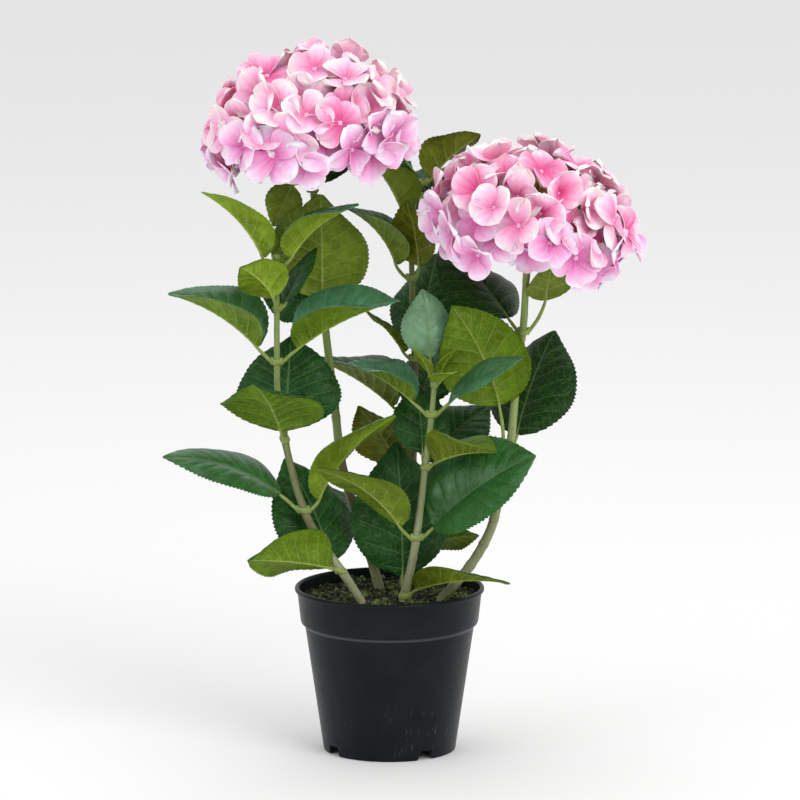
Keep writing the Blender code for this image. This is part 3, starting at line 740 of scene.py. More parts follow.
def make_moss_bed(materials):
    """The fill under the crumbs: a closed plug with a broken top."""
    low = FLOOR_TOP + GAP
    edge = fill_edge()
    level = SOIL_LEVEL - BED_DROP
    profile = [(0, low), (pot_radius(low) - FILL_CLEAR, low), (BODY_TOP_RADIUS - FILL_CLEAR, POT_STEP - 1.0),
               (COLLAR_FOOT_RADIUS - FILL_CLEAR, POT_STEP + 2.5), (edge, SOIL_LEVEL - 3.0)]
    profile += [(edge * (1 - (i + 0.5) / (BED_RINGS + 0.3)), level) for i in range(BED_RINGS)]
    profile.append((0, level))
    shape = Shape()
    turned(shape, [Vector(p) for p in profile], BED_SIDES, 0)
    points = shape.points[0]
    top = points[:, 2] > SOIL_LEVEL - 2
    rise = [lumps.fractal(Vector(p) * 0.16, 1.0, 2.0, 3) * 2.2 for p in points[top]]
    points[top, 2] += np.clip(rise, -2.0, 2.4)
    settle(shape.piece("moss_bed", materials), "moss_fill", "moss_fill")


def crumb_ball():
    """The twelve corners and twenty faces of a regular grain."""
    shape = bmesh.new()
    bmesh.ops.create_icosphere(shape, subdivisions=1, radius=1.0)
    points = np.array([v.co[:] for v in shape.verts])
    faces = [tuple(v.index for v in f.verts) for f in shape.faces]
    shape.free()
    return points, faces


def make_moss_crumbs(look, materials):
    """Loose grains of moss and peat over the bed, green on top and brown between; grains lying low or near
    the pot's wall take darker tones, painted shade.
    """
    rng = np.random.default_rng(CRUMB_SEED)
    ball, faces = crumb_ball()
    edge = fill_edge() - 1.2
    shape = Shape()
    stems = [np.array(stem["path"][0][:2], float) for stem in STEMS.values()]
    for _ in range(look.crumbs):
        spot = edge * math.sqrt(rng.random()) * np.exp(2j * math.pi * rng.random())
        centre = np.array((spot.real, spot.imag))
        size = look.crumb_size * PER_METRE * rng.uniform(*CRUMB_SIZES)
        if min(np.linalg.norm(centre - foot) for foot in stems) < 3.4 + size * 0.6:
            continue
        mound = lumps.fractal(Vector((*centre, 0)) * 0.055, 1.0, 2.0, 3)
        height = SOIL_LEVEL - 1.2 + 2.4 * mound + rng.uniform(*CRUMB_RISE)
        height = min(height, POT_HEIGHT - 4.0 - size)
        outward = np.linalg.norm(centre) / edge
        # Grains lying low or near the pot's wall lean to the darker tones: painted shade.
        pick = rng.random() + 0.25 * (height - SOIL_LEVEL) - 0.32 * outward ** 6
        tone = 0 if pick > 0.70 else 1 if pick > 0.36 else 2 if pick > 0.06 else 3
        grain = ball * rng.uniform(*CRUMB_LUMPS, (len(ball), 1)) * rng.uniform(*CRUMB_STRETCH, 3) * size
        shape.add(grain + np.array((*centre, height)), faces, tone)
    settle(shape.piece("moss_crumbs", materials, 30.0), "moss_fill")


# Stems

STEM_SEED = 300
STEM_SIDES = 22
STEM_STEP = 1.15
STEM_SUNK = 1.6
WART_SPACING = 3.2

# The three rings of a leaf scar: height from its middle, and relief as a share of the stem's radius
SCAR_RINGS = ((-1.6, 0.11), (0.0, 0.16), (1.5, 0.10))


class Stem:
    """A tapering stem's centre line and radius by height."""

    def __init__(self, key):
        given = STEMS[key]
        self.run = smooth_run(given["path"])
        self.heights = np.array([p.z for p in self.run])
        self.spots = np.array(self.run)
        self.base = given["base"]
        self.tip = given["tip"]
        self.scars = given["scars"]
        self.nodes = [pair[0] for name, pair in PAIRS.items() if name[0] == key]

    def centre(self, z):
        return np.stack([np.interp(z, self.heights, self.spots[:, k]) for k in range(2)] + [z], axis=-1)

    def radius(self, z):
        low, high = self.heights[0], self.heights[-1]
        return self.base + (self.tip - self.base) * (z - low) / (high - low)

    def end_axis(self):
        return (self.run[-1] - self.run[-3]).normalized()


def make_stem(key, stem, look, material):
    """A stem with ribs along it, swollen nodes, rings of old leaf scars and small warts."""
    rng = np.random.default_rng(STEM_SEED + ord(key))
    low, high = stem.heights[0] - STEM_SUNK, stem.heights[-1]
    z = np.linspace(low, high, int((high - low) / STEM_STEP))
    angle = angles_round(STEM_SIDES)
    radius = stem.radius(np.maximum(z, stem.heights[0]))
    for node in stem.nodes:
        radius = radius * (1 + 0.10 * np.exp(-((z - node + 3) / 4.0) ** 2))
    for scar in stem.scars:
        for offset, lift in SCAR_RINGS:
            radius = radius + stem.base * lift * np.exp(-((z - scar - offset) / 0.55) ** 2)
    radius = radius + 0.10 * np.exp(-((z % 23.0 - 11.0) / 0.6) ** 2) * (z < 190)
    field = np.repeat(radius[:, None], STEM_SIDES, axis=1)
    ribs = look.rib_height * PER_METRE
    field += ribs * np.sin(6 * angle[None, :] + z[:, None] * 0.012 + 0.5 * np.sin(z[:, None] * 0.05))
    field += ribs * 0.5 * np.sin(11 * angle[None, :] + z[:, None] * 0.05)
    for _ in range(int((high - low) / WART_SPACING)):
        height = rng.uniform(low, high)
        turn = rng.uniform(0, 2 * math.pi)
        swell = rng.uniform(0.12, 0.30) * (1.0 if height < 230 else 0.5)
        apart = np.angle(np.exp(1j * (angle - turn))) * stem.base
        field += swell * np.exp(-((z[:, None] - height) / 1.5) ** 2 - (apart[None, :] / 0.7) ** 2)
    centre = stem.centre(z)
    along = unit(np.gradient(centre, axis=0))
    side = unit(np.array((1.0, 0, 0)) - along * along[:, :1])
    points = centre[:, None] + ring_about(along, side, angle) * field[:, :, None]
    shape = Shape()
    shape.add(points, closed_quads(len(z), STEM_SIDES), 0)
    settle(shape.piece("stem_%s_bark" % key, [material], 60.0), "stems", "stem_" + key)


# Leaves

UPPER_TONES = ("deep", "rich", "dusk", "sea", "mist")
GLOSSY_TONES = ("rich", "sea", "mist")
UNDER_TONES = ("fern", "lime", "spring", "khaki", "olive", "bronze")
UPPER_ROUGH = 0.28
UNDER_ROUGH = 0.42

# Blades: steps along the midrib, how far side veins run towards the tip, where the first leaves the
# midrib and the share of it that they take, the heel, the teeth's pitch, and columns to the margin
BLADE_STEPS = 40
VEIN_LEAN = 0.9
VEIN_FIRST = 0.05
VEIN_SPREAD = 0.66
HEEL_SHARE = 0.004
TOOTH_PITCH = 3.4
COLUMNS = np.array((0, 0.12, 0.30, 0.48, 0.66, 0.84, 1.0))

# Petioles longer than LONG_PETIOLE are stouter, and all run on into their blade
LONG_PETIOLE = 9
STOUTER = 1.18
PETIOLE_SUNK = 9.0

# Collars: points round them, and from their foot up the levels and how far each bulges out
COLLAR_SIDES = 26
COLLAR_LEVELS = np.array((-0.5, -0.42, -0.15, 0.2, 0.42, 0.5, 0.45)) * COLLAR_TALL
COLLAR_BULGE = np.array((0.25, 0.55, 0.95, 1.0, 0.75, 0.35, 0.0)) * COLLAR_THICK


def leaf_outline(share):
    """Half width of an ovate leaf as a share of its full width, from base (0) to tip (1)."""
    fall = LEAF_FULLNESS * (1 - LEAF_BROADEST) / LEAF_BROADEST
    peak = LEAF_BROADEST ** LEAF_FULLNESS * (1 - LEAF_BROADEST) ** fall
    return 0.5 * share ** LEAF_FULLNESS * (1 - share) ** fall / peak


class Blade:
    """A leaf's middle surface: V-folded on the midrib, arched along it, rolled about it."""

    def __init__(self, base, leaf):
        head = math.radians(leaf["head"] + leaf["swing"])
        self.leaf = leaf
        self.level = np.array((math.cos(head), math.sin(head), 0))
        self.flank = np.array((math.sin(head), -math.cos(head), 0))
        self.up = np.array((0, 0, 1.0))
        self.marks = np.arange(BLADE_STEPS + 1) / BLADE_STEPS
        slopes = self.slope(self.marks[:-1])
        steps = self.level * np.cos(slopes)[:, None] + self.up * np.sin(slopes)[:, None]
        self.spine = np.vstack((base, base + np.cumsum(steps, axis=0) * leaf["long"] / BLADE_STEPS))

    def slope(self, share):
        return np.radians(self.leaf["rise"] + self.leaf["arch"] * (0.5 - share))

    def points(self, share, across):
        """Points at shares along and across (-1 to 1), both grids."""
        leaf = self.leaf
        roll = math.radians(leaf["roll"])
        slope = self.slope(share)[..., None]
        up = self.up * np.cos(slope) - self.level * np.sin(slope)
        side = math.cos(roll) * self.flank + math.sin(roll) * up
        normal = math.cos(roll) * up - math.sin(roll) * self.flank
        reach = (np.abs(across) * leaf["wide"] * leaf_outline(share))[..., None]
        curl = math.radians(leaf["fold"]) * (1 - FOLD_FADE * share) - MARGIN_CURL * np.abs(across)
        curl = curl[..., None]
        spine = np.stack([np.interp(share, self.marks, self.spine[:, k]) for k in range(3)], axis=-1)
        flat = reach * np.cos(curl) * np.sign(across)[..., None]
        return spine + side * flat + normal * reach * np.sin(curl)


def vein_shift(u, v):
    """Share along the leaf of a point that left the midrib at u and is v of the way to the margin."""
    return 1 - (1 - u) ** (1 + VEIN_LEAN * v)


def blade_rows(long):
    """Rows from base to tip: midrib share, vein side (-1, 0 or 1), tooth, and place between veins."""
    count = 7 if long > 58 else 5 if long > 38 else 4
    veins = [VEIN_FIRST + VEIN_SPREAD * i / (count - 1) for i in range(count)]
    rows = [(HEEL_SHARE, 0, 0.0, 0.5)]
    marks = [HEEL_SHARE] + veins + [1.0]
    for i, (low, high) in enumerate(zip(marks, marks[1:])):
        length = (vein_shift(high, 1) - vein_shift(low, 1)) * long
        teeth = max(2 if i else 1, round(length / TOOTH_PITCH))
        if i:
            rows.append((low, 1, 1.0, 0.0))
        for k in range(teeth):
            for part, tooth in ((0.30, 0.0), (0.96, 1.0)):
                if k == teeth - 1 and tooth:
                    continue
                between = (k + part) / teeth
                rows.append((low + (high - low) * between, 0, tooth, between))
        if i < count:
            rows.append((high, -1, 1.0, 1.0))
    return rows


def both_sides(left, middle, right):
    """A row's values from one margin over the midrib to the other."""
    return np.concatenate((left[:, ::-1], middle[:, :1], right), axis=1)


def blade_grid(leaf, look, midrib, vein_side, tooth):
    """Where a blade's points are: shares along it, across it (-1 to 1) and from midrib to margin."""
    column = COLUMNS[None, :]
    vein = look.vein_width * PER_METRE / leaf["long"] / 2
    spread = (1 + VEIN_LEAN * column) * (1 - midrib) ** (VEIN_LEAN * column)
    share = vein_shift(midrib, column) + vein_side * vein * (1 - 0.55 * column) * np.minimum(spread, 1)
    share = np.clip(share, 0.002, 0.997)
    half = np.maximum(leaf["wide"] * leaf_outline(share), 0.4)
    rib = np.minimum(0.5, (look.midrib_width * PER_METRE * (1.0 - 0.75 * share)) / half)
    across = rib + (1 - rib) * column
    bite = look.tooth * PER_METRE * min(1.0, leaf["long"] / 60)
    edge = (column == 1.0) * (tooth - 0.55) * bite / half * np.minimum(1, (1 - share) * 9)
    across = np.maximum(across + edge, 0.02)
    return (both_sides(share, share, share), both_sides(-across, across * 0, across),
            both_sides(column, column, column))


def add_blade(shape, base, leaf, look, looks, rng):
    """One closed blade: toothed margin, sunk veins above, raised veins below, quilted between."""
    rows = blade_rows(leaf["long"])
    midrib, vein_side, tooth, between = [np.array(column)[:, None] for column in zip(*rows)]
    share, across, depth = blade_grid(leaf, look, midrib, vein_side, tooth)
    blade = Blade(base, leaf)
    points = blade.points(share, across)
    normal = grid_normals(points)
    tip = blade.points(np.array([[1.0]]), np.array([[0.0]]))[0, 0]

    # Quilting and waves lift both faces, veins only one
    size = leaf["wide"] / 70
    puff = np.sin(math.pi * between) ** 0.8 * np.sin(math.pi * np.clip(depth * 0.93, 0, 1)) ** 0.7
    height = look.ruffle * PER_METRE * rng.uniform(0.6, 1.3) * size * depth ** 2 * np.clip(share * 4, 0, 1)
    phase = share * rng.uniform(9, 14) + np.sign(across) * rng.uniform(0, 3) + rng.uniform(0, 6)
    body = look.quilt * PER_METRE * size * puff + height * np.sin(phase)
    mid = len(COLUMNS)
    middle = (np.arange(across.shape[1]) == mid)[None, :]
    strip = (vein_side != 0) * (depth < 0.9)
    taper = 1 - 0.8 * share
    thin = look.thickness * PER_METRE / 2
    top = body + thin - 0.25 * middle * taper
    under = body - thin - 0.26 * strip * (1 - 0.6 * depth) - (0.35 + 0.5 * middle) * (depth == 0) * taper

    # Side veins and the midrib in their own tones
    faces = []
    for face in ("top", "under"):
        pattern = np.full((len(rows), across.shape[1] - 1), looks[face])
        pattern[vein_side[:, 0] == -1, 1:-1] = looks["vein_" + face]
        pattern[:, mid - 1:mid + 1] = looks["vein_" + face]
        faces.append(pattern)
    closed_sheet(shape, points + normal * top[..., None], points + normal * under[..., None], tip,
                 *faces, looks["top"])


def add_petiole(shape, stem, node, leaf, look):
    """The petiole from the collar to the blade's heel, as in the part; gives the heel."""
    head = math.radians(leaf["head"])
    level = Vector((math.cos(head), math.sin(head), 0))
    lift = math.radians(leaf["lift"])
    away = level * math.cos(lift) + Vector((0, 0, math.sin(lift)))
    outside = float(stem.radius(node)) + GAP + PETIOLE_CLEAR + PETIOLE_RADIUS * math.sin(lift)
    start = Vector(stem.centre(np.array(float(node)))) + level * outside
    start.z -= PETIOLE_DROP
    knee = start + away * leaf["petiole"] * 0.5
    slope = math.radians(leaf["rise"] + leaf["arch"] / 2)
    level = Matrix.Rotation(math.radians(leaf["swing"]), 3, "Z") @ level
    onward = level * math.cos(slope) + Vector((0, 0, math.sin(slope)))
    heel = knee + (away + onward).normalized() * leaf["petiole"] * 0.5
    up = Vector((0, 0, math.cos(slope))) - level * math.sin(slope)
    sunk = heel + onward * PETIOLE_SUNK - up * 0.5
    path = smooth_run((start - away * 1.5, start, knee, heel - up * 0.35, sunk), 5)
    share = np.linspace(0, 1, len(path))
    stout = STOUTER if leaf["petiole"] > LONG_PETIOLE else 1.0
    radii = PETIOLE_RADIUS * np.interp(share, (0, 0.3, 0.55, 0.8, 1), (1.15, stout, stout, 0.85, 0.3))
    tube(shape, path, radii, 10, look)
    return np.array(heel)


def add_collar(shape, stem, node, leaves, look):
    """A ring round the stem that swells into a sleeve under each petiole."""
    angle = angles_round(COLLAR_SIDES)
    circle = np.stack((np.cos(angle), np.sin(angle), 0 * angle), axis=-1)
    ear = np.zeros(COLLAR_SIDES)
    for leaf in leaves:
        apart = np.cos(angle - math.radians(leaf["head"]))
        ear = np.maximum(ear, np.clip(apart, 0, 1) ** 5)
    radius = float(stem.radius(node)) + GAP
    rings = []
    for height, out in zip(COLLAR_LEVELS, COLLAR_BULGE):
        reach = radius + out + ear * 1.3 * (out > 0.3)
        level = node + height + ear * (1.6 if height > 0.5 else 0.0)
        rings.append(stem.centre(level) + circle * reach[:, None])
    for height in (0.4, -0.45):
        rings.append(stem.centre(np.full(COLLAR_SIDES, node + height * COLLAR_TALL)) + circle * radius)
    count = len(rings)
    faces = [tuple(k % (count * COLLAR_SIDES) for k in face)
             for face in ring_quads(count + 1, COLLAR_SIDES)]
    shape.add(np.concatenate(rings), faces, look)


def make_pair(key, stem, node, leaves, look, tones, ribs, stalk):
    """A collar with its two leaves, in the tones dealt to them, each with its own shade of vein."""
    shape = Shape()
    names = sorted({leaf[face] for leaf in leaves for face in ("top", "under")})
    materials = [tones[name] for name in names] + [ribs[name] for name in names] + [stalk]
    count = len(names)
    add_collar(shape, stem, node, leaves, 2 * count)
    for side, leaf in zip("ab", leaves):
        seed = sum(ord(letter) * 31 ** k for k, letter in enumerate(key + side))
        heel = add_petiole(shape, stem, node, leaf, 2 * count)
        top, under = names.index(leaf["top"]), names.index(leaf["under"])
        looks = {"top": top, "under": under, "vein_top": count + top, "vein_under": count + under}
        add_blade(shape, heel, leaf, look, looks, np.random.default_rng(seed))
    settle(shape.piece("leaf_pair_" + key, materials), "leaves", "leaves_" + key)


# Flower heads

PETAL_SHARES = np.array((0.03, 0.09, 0.16, 0.24, 0.32, 0.41, 0.50, 0.59, 0.67, 0.75, 0.82, 0.89, 0.94, 0.98))
PETAL_ACROSS = np.linspace(-1, 1, 13)
PETAL_TONES = 12
PETAL_BROADEST = 0.54
PETAL_FAMILIES = ("rosy", "pale", "lilac")
ROSY_SHARE = 0.38
LILAC_BELOW = 0.05

# What chance may do: lengths and widths as shares of a floret's radius, angles in radians, the trough
# and the dent of a tip as shares of their greatest depth, a floret's size and cup as shares, its
# depth in the shell in millimetres
PETAL_LENGTHS = (0.92, 1.06)
PETAL_WIDTHS = (0.98, 1.14)
PETAL_LIFTS = (-0.12, 0.16)
PETAL_DROOPS = (0.25, 0.95)
PETAL_TWISTS = (-0.42, 0.42)
PETAL_TROUGHS = (-0.35, 0.75)
PETAL_DENTS = (-1, 0.6)
FLORET_SIZES = (0.86, 1.04)
FLORET_CUPS = (0.3, 1.6)
FLORET_DEPTHS = (-2, 2)

# How far out of the shell florets stand in turn, in millimetres
LAYERS = (2.0, -4.0, -0.5, -11.0)
HEAD_SEED = 40
GOLDEN_ANGLE = math.pi * (3 - math.sqrt(5))
BEAD_RADIUS = 1.6
HEART_RINGS = 18
HEART_SIDES = 30


def petal_width(share):
    """Half width of a petal as a share of its width: it widens soon and ends in blunt corners."""
    swell = np.clip(share / PETAL_BROADEST, 0, 1) ** 0.72
    narrow = 1 - np.clip((share - PETAL_BROADEST) / (1 - PETAL_BROADEST), 0, 1) ** 3.2
    return 0.5 * np.minimum(swell, narrow) ** 0.9


def petal_points(radius, look, rng, cup):
    """A petal's middle surface: its spine curves up and over, it is troughed, twisted and ruffled."""
    long = radius * rng.uniform(*PETAL_LENGTHS)
    wide = radius * rng.uniform(*PETAL_WIDTHS)
    share, across = np.meshgrid(PETAL_SHARES, PETAL_ACROSS, indexing="ij")
    foot = cup + rng.uniform(*PETAL_LIFTS)
    rim = foot - rng.uniform(*PETAL_DROOPS)
    angle = foot + (rim - foot) * share
    stride = np.diff(share, axis=0, prepend=0.0) * long
    out = np.cumsum(np.cos(angle) * stride, axis=0)
    lift = np.cumsum(np.sin(angle) * stride, axis=0)
    twist = rng.uniform(*PETAL_TWISTS) * share
    half = wide * petal_width(share) * across
    trough = rng.uniform(*PETAL_TROUGHS) * (1 - 0.35 * share)
    hump = trough * wide * 0.45 * petal_width(share) * (across ** 2 + np.abs(across))
    ruffle = look.ruffle * radius * share ** 2 * (0.35 + np.abs(across) ** 2)
    phase = across * rng.uniform(3.5, 7) + share * rng.uniform(-4, 4) + rng.uniform(0, 6)
    hump = hump + ruffle * np.sin(phase)
    hump = hump + 0.012 * radius * np.cos(math.pi * 5 * (across + 1)) * share * (1 - 0.5 * share)
    side = half * np.cos(twist) - hump * np.sin(twist)
    bulge = half * np.sin(twist) + hump * np.cos(twist)
    dent = 0.03 * radius * rng.uniform(*PETAL_DENTS) * (1 - across ** 2) * share ** 5
    return np.stack((out - bulge * np.sin(angle) + dent, side, lift + bulge * np.cos(angle) + 0.5), axis=-1)


def petal_bands(rng, family):
    """Tones from foot to rim, with a ragged course, as numbers of the family's materials."""
    share, across = np.meshgrid(PETAL_SHARES[:-1], PETAL_ACROSS[:-1], indexing="ij")
    shift = rng.uniform(-0.7, 0.9)
    tone = PETAL_TONES * (share ** 1.15 + 0.16 * share * np.abs(across + 0.08) ** 3)
    ragged = 0.45 * np.sin(across * 11 + rng.uniform(0, 6))
    low = np.clip((tone + shift * share * 2 + ragged).astype(int), 0, PETAL_TONES - 1)
    return np.vstack((low, low[-1:])) + family * PETAL_TONES


def add_petal(shape, place, turn, radius, look, rng, family, cup):
    """One closed petal of a floret, turned to its side of the heart."""
    points = petal_points(radius, look, rng, cup) @ np.array(Matrix.Rotation(turn, 3, "Z")).T
    middle = len(PETAL_ACROSS) // 2
    tip = points[-1, middle] * 1.6 - points[-2, middle] * 0.6
    normal = grid_normals(points) @ np.array(place)[:3, :3].T
    rise = normal * (look.thickness * PER_METRE / 2)
    sent = carried(points, place)
    bands = petal_bands(rng, family)
    closed_sheet(shape, sent - rise, sent + rise, carried(tip, place), bands, bands,
                 family * PETAL_TONES + PETAL_TONES - 1)


def add_bead(shape, place, ball, faces):
    """The tiny closed bud in a floret's heart: four lobes, each the ball squeezed a little."""
    for k in range(4):
        turn = math.pi / 4 + k * math.pi / 2
        centre = np.array((math.cos(turn) * BEAD_RADIUS * 0.62, math.sin(turn) * BEAD_RADIUS * 0.62, 1.1))
        points = ball * BEAD_RADIUS * np.array((0.85, 0.85, 0.8)) + centre
        shape.add(carried(points, place), faces, 0)


def shell_normal(spot, size, lean, upright=1.0):
    """The way out of a leaning shell at a spot of the unit ball, flatter where upright is below 1."""
    return (lean @ Vector((spot.x / size.x, spot.y / size.y, upright * spot.z / size.z))).normalized()


def add_heart(shape, centre, size, lean):
    """The lumpy olive core that fills a head."""
    points = []
    for i in range(HEART_RINGS):
        level = math.cos(math.pi * (0.03 + 0.62 * i / (HEART_RINGS - 1)))
        flat = math.sqrt(1 - level * level)
        for k in range(HEART_SIDES):
            angle = 2 * math.pi * k / HEART_SIDES
            spot = Vector((flat * math.cos(angle), flat * math.sin(angle), level))
            grown = 1 + 0.14 * lumps.fractal(spot * 3.1, 1.0, 2.0, 3)
            points.append(centre + lean @ (spot * size * CORE_SHARE * grown))
    shape.add(points, [face[::-1] for face in closed_quads(HEART_RINGS, HEART_SIDES)], 0)


def make_head(key, head, stem, look, petals, softs):
    """A domed head: florets on pedicels round a lumpy heart, by the part's own golden-angle rule."""
    rng = np.random.default_rng(HEAD_SEED + len(key))
    lean = Matrix.Rotation(math.radians(head["tilt"]), 3, "Y")
    centre = Vector(head["centre"])
    size = Vector((head["across"], head["across"], head["tall"]))
    low = math.cos(math.radians(head["low"]))
    ball, faces = crumb_ball()
    petal_shape = Shape()
    bead_shape = Shape()
    heart = Shape()
    radius = look.floret_radius * PER_METRE
    for k in range(look.florets):
        z = 1 - (1 - low) * (k + 0.5) / look.florets
        flat = math.sqrt(1 - z * z)
        angle = math.radians(head["turn"]) + GOLDEN_ANGLE * k
        spot = Vector((flat * math.cos(angle), flat * math.sin(angle), z))
        outward = shell_normal(spot, size, lean)
        facing = shell_normal(spot, size, lean, 0.6)
        normal = (facing + Vector(rng.uniform(-1, 1, 3)) * look.sway).normalized()
        cup = look.cup * rng.uniform(*FLORET_CUPS) * (1 + max(0.0, spot.z))
        bloom = radius * rng.uniform(*FLORET_SIZES)
        shell = centre + lean @ (spot * size)
        layer = LAYERS[k % len(LAYERS)] + rng.uniform(*FLORET_DEPTHS)
        shell += outward * (layer - 0.3 * bloom * math.sin(cup))
        shell.z -= look.flatten * PER_METRE * max(0.0, spot.z)
        place = Matrix.Translation(shell) @ normal.to_track_quat("Z", "Y").to_matrix().to_4x4()
        spin = rng.uniform(0, math.pi / 2)
        family = 0 if rng.random() < ROSY_SHARE else 1
        if spot.z < LILAC_BELOW:
            family = 2
        for petal in range(4):
            turn = spin + petal * math.pi / 2 + rng.uniform(-0.10, 0.10)
            add_petal(petal_shape, place, turn, bloom, look, rng, family, cup)
        add_bead(bead_shape, place, ball, faces)
        root = centre + lean @ (spot * size * CORE_SHARE * 0.8)
        tube(heart, (root, root.lerp(shell, 0.6), shell + normal * 0.6), (1.1, 0.9, 0.8), 8, 1)
    add_heart(heart, centre, size, lean)
    tip = stem.run[-1] + stem.end_axis() * GAP
    path = smooth_run((tip - stem.end_axis() * 2, tip, tip.lerp(centre, 0.5), centre), 5)
    tube(heart, path, np.linspace(2.6, 3.4, len(path)), 16, 1)
    settle(petal_shape.piece("petals_" + key, petals, 60.0), "petals", "flower_" + key)
    settle(bead_shape.piece("floret_beads_" + key, [softs["bead"]], 80.0), "petals")
    settle(heart.piece("flower_heart_" + key, [softs["heart"], softs["stalk"]], 60.0), "stems")


# Stage

# The photograph: its width, its scale across and up, and the middle of the picture to the right of
# the pot's axis and above the floor, all in pixels
PIXELS = 800
PIXELS_PER_METRE = 1270
PIXELS_PER_METRE_UP = 1248.4
MIDDLE_PIXELS = 10.5
LEVEL_PIXELS = 350

FLOOR_CELLS = 12
FLOOR_DROP = 0.0002

# Area lights: place, aim and width in metres, the setting that gives the power, and the colour
LIGHTS = {
    "key_light": ((1.6, -2.2, 2.2), (0, 0, 0.28), 1.8, "key", (1.0, 0.99, 0.97)),
    "fill_light": ((-2.2, -1.6, 1.3), (0, 0, 0.3), 1.6, "fill", (0.94, 0.97, 1.0)),
    "top_light": ((-0.2, 0.8, 2.6), (0, 0, 0.3), 1.6, "fill", (0.97, 0.98, 1.0)),
}


def area_light(name, spot, aim, width, power, colour):
    data = bpy.data.lights.new(name, "AREA")
    data.shape = "RECTANGLE"
    data.size = width
    data.size_y = width
    data.energy = power
    data.color = colour
    aim_from(placed(name, data), spot, Vector(aim) - Vector(spot))


def make_floor(look):
    shape = Shape()
    wide = look.floor_size * PER_METRE
    steps = range(FLOOR_CELLS + 1)
    points = [(wide * (i / FLOOR_CELLS - 0.5), wide * (j / FLOOR_CELLS - 0.5), 0)
              for i in steps for j in steps]
    row = len(steps)
    faces = [(i * row + j, (i + 1) * row + j, (i + 1) * row + j + 1, i * row + j + 1)
             for i in steps[:-1] for j in steps[:-1]]
    shape.add(points, faces, 0)
    floor = shape.piece("studio_floor", [floor_finish(look)])
    floor.location.z = -FLOOR_DROP


def make_camera(look):
    """A long lens at the photograph's height, whose picture is as wide as the photograph."""
    data = bpy.data.cameras.new("photo_camera")
    distance = look.camera_distance
    data.sensor_width = 36.0
    data.lens = data.sensor_width * distance / look.frame_width
    data.clip_end = 100.0
    way = Vector((0, math.cos(look.camera_elevation), -math.sin(look.camera_elevation)))
    made = placed("photo_camera", data)
    aim_from(made, Vector((look.aim_x, 0, look.aim_z)) - way * distance, way)
    bpy.context.scene.camera = made


def make_world(look):
    world = bpy.data.worlds.new("studio_world")
    world.use_nodes = True
    back = world.node_tree.nodes["Background"]
    back.inputs["Color"].default_value = (*look.world, 1.0)
    back.inputs["Strength"].default_value = look.world_strength
    bpy.context.scene.world = world


# What a user may change

def colour_of(name, description, red, green, blue):
    return bpy.props.FloatVectorProperty(name=name, description=description, subtype="COLOR", size=3,
                                         min=0.0, max=1.0, default=from_screen(red, green, blue))


def number_of(name, description, value, **kind):
    return bpy.props.FloatProperty(name=name, description=description, default=value, **kind)


def length_of(name, description, value):
    return number_of(name, description, value, unit="LENGTH", min=0.0, precision=4)


def count_of(name, description, value, least):
    return bpy.props.IntProperty(name=name, description=description, default=value, min=least)


class PotSettings(bpy.types.PropertyGroup):
    """Finish of the pot."""
    shell: colour_of("Shell", "Colour of the moulded plastic", 13, 18, 21)
    # One colour serves both the real scuffs low down and the painted highlight along the step.
    scuff_and_highlight: colour_of("Scuff", "Colour of scuffs and rubbed edges", 92, 98, 104)
    sides: count_of("Sides", "Facets round the pot", 120, 24)


class MossSettings(bpy.types.PropertyGroup):
    """Grains and colours of the fill."""
    crumbs: count_of("Crumbs", "Loose grains on the bed", 3400, 0)
    crumb_size: length_of("Crumb size", "Mean radius of a grain", 0.0017)
    green: colour_of("Green", "Fresh moss", 98, 114, 58)
    olive: colour_of("Olive", "Dry moss", 66, 76, 36)
    peat: colour_of("Peat", "Brown crumbs", 44, 40, 26)
    # The shadow tone is painted shade in the gaps, on the bed and on the lowest grains.
    dark: colour_of("Shadow", "Crumbs in the gaps", 18, 18, 12)


class StemSettings(bpy.types.PropertyGroup):
    """Skin of the stems."""
    rib_height: length_of("Rib height", "Height of the ribs along a stem", 0.00009)
    low: colour_of("Foot", "Colour near the pot", 149, 155, 117)
    high: colour_of("Top", "Colour among the leaves", 133, 154, 82)
    # The brown is partly the stems' own colour and partly painted shade under the leaves.
    brown: colour_of("Brown", "Colour of the darker stretches", 84, 70, 40)
    fleck: colour_of("Fleck", "Brown flecks", 84, 58, 34)


class LeafSettings(bpy.types.PropertyGroup):
    """Shape details and tones of the leaves."""
    thickness: length_of("Thickness", "Thickness of a blade", 0.00055)
    quilt: length_of("Quilting", "Swelling between the veins", 0.0008)
    tooth: length_of("Teeth", "Depth of the teeth on the margin", 0.0012)
    vein_width: length_of("Vein width", "Width of a side vein at the midrib", 0.00055)
    midrib_width: length_of("Midrib width", "Half width of the midrib at its foot", 0.00085)
    ruffle: length_of("Ruffle", "Height of the waves of a margin", 0.0014)
    vein_share: number_of("Vein contrast", "Share of the vein colour in a vein's shade", 0.42,
                          subtype="FACTOR", min=0.0, max=1.0)
    deep: colour_of("Deep green", "Dark upper side", 24, 70, 21)
    rich: colour_of("Rich green", "Clear green upper side", 39, 94, 35)
    dusk: colour_of("Dusky green", "Shaded upper side", 22, 57, 17)
    sea: colour_of("Sea green", "Bluish upper side", 64, 115, 77)
    mist: colour_of("Misty green", "Light bluish upper side", 114, 155, 114)
    fern: colour_of("Fern green", "Mid green", 84, 115, 19)
    lime: colour_of("Lime", "Light yellow-green", 117, 143, 30)
    spring: colour_of("Spring green", "Bright yellow-green under side", 94, 123, 19)
    khaki: colour_of("Khaki", "Greyed yellow-green", 104, 125, 32)
    olive: colour_of("Olive", "Olive green", 95, 112, 22)
    bronze: colour_of("Bronze", "Brownish olive", 97, 104, 13)
    vein_top: colour_of("Upper veins", "Veins on the upper side", 115, 150, 86)
    vein_under: colour_of("Under veins", "Veins on the under side", 172, 185, 94)
    petiole: colour_of("Petioles", "Petioles and collars", 137, 155, 81)


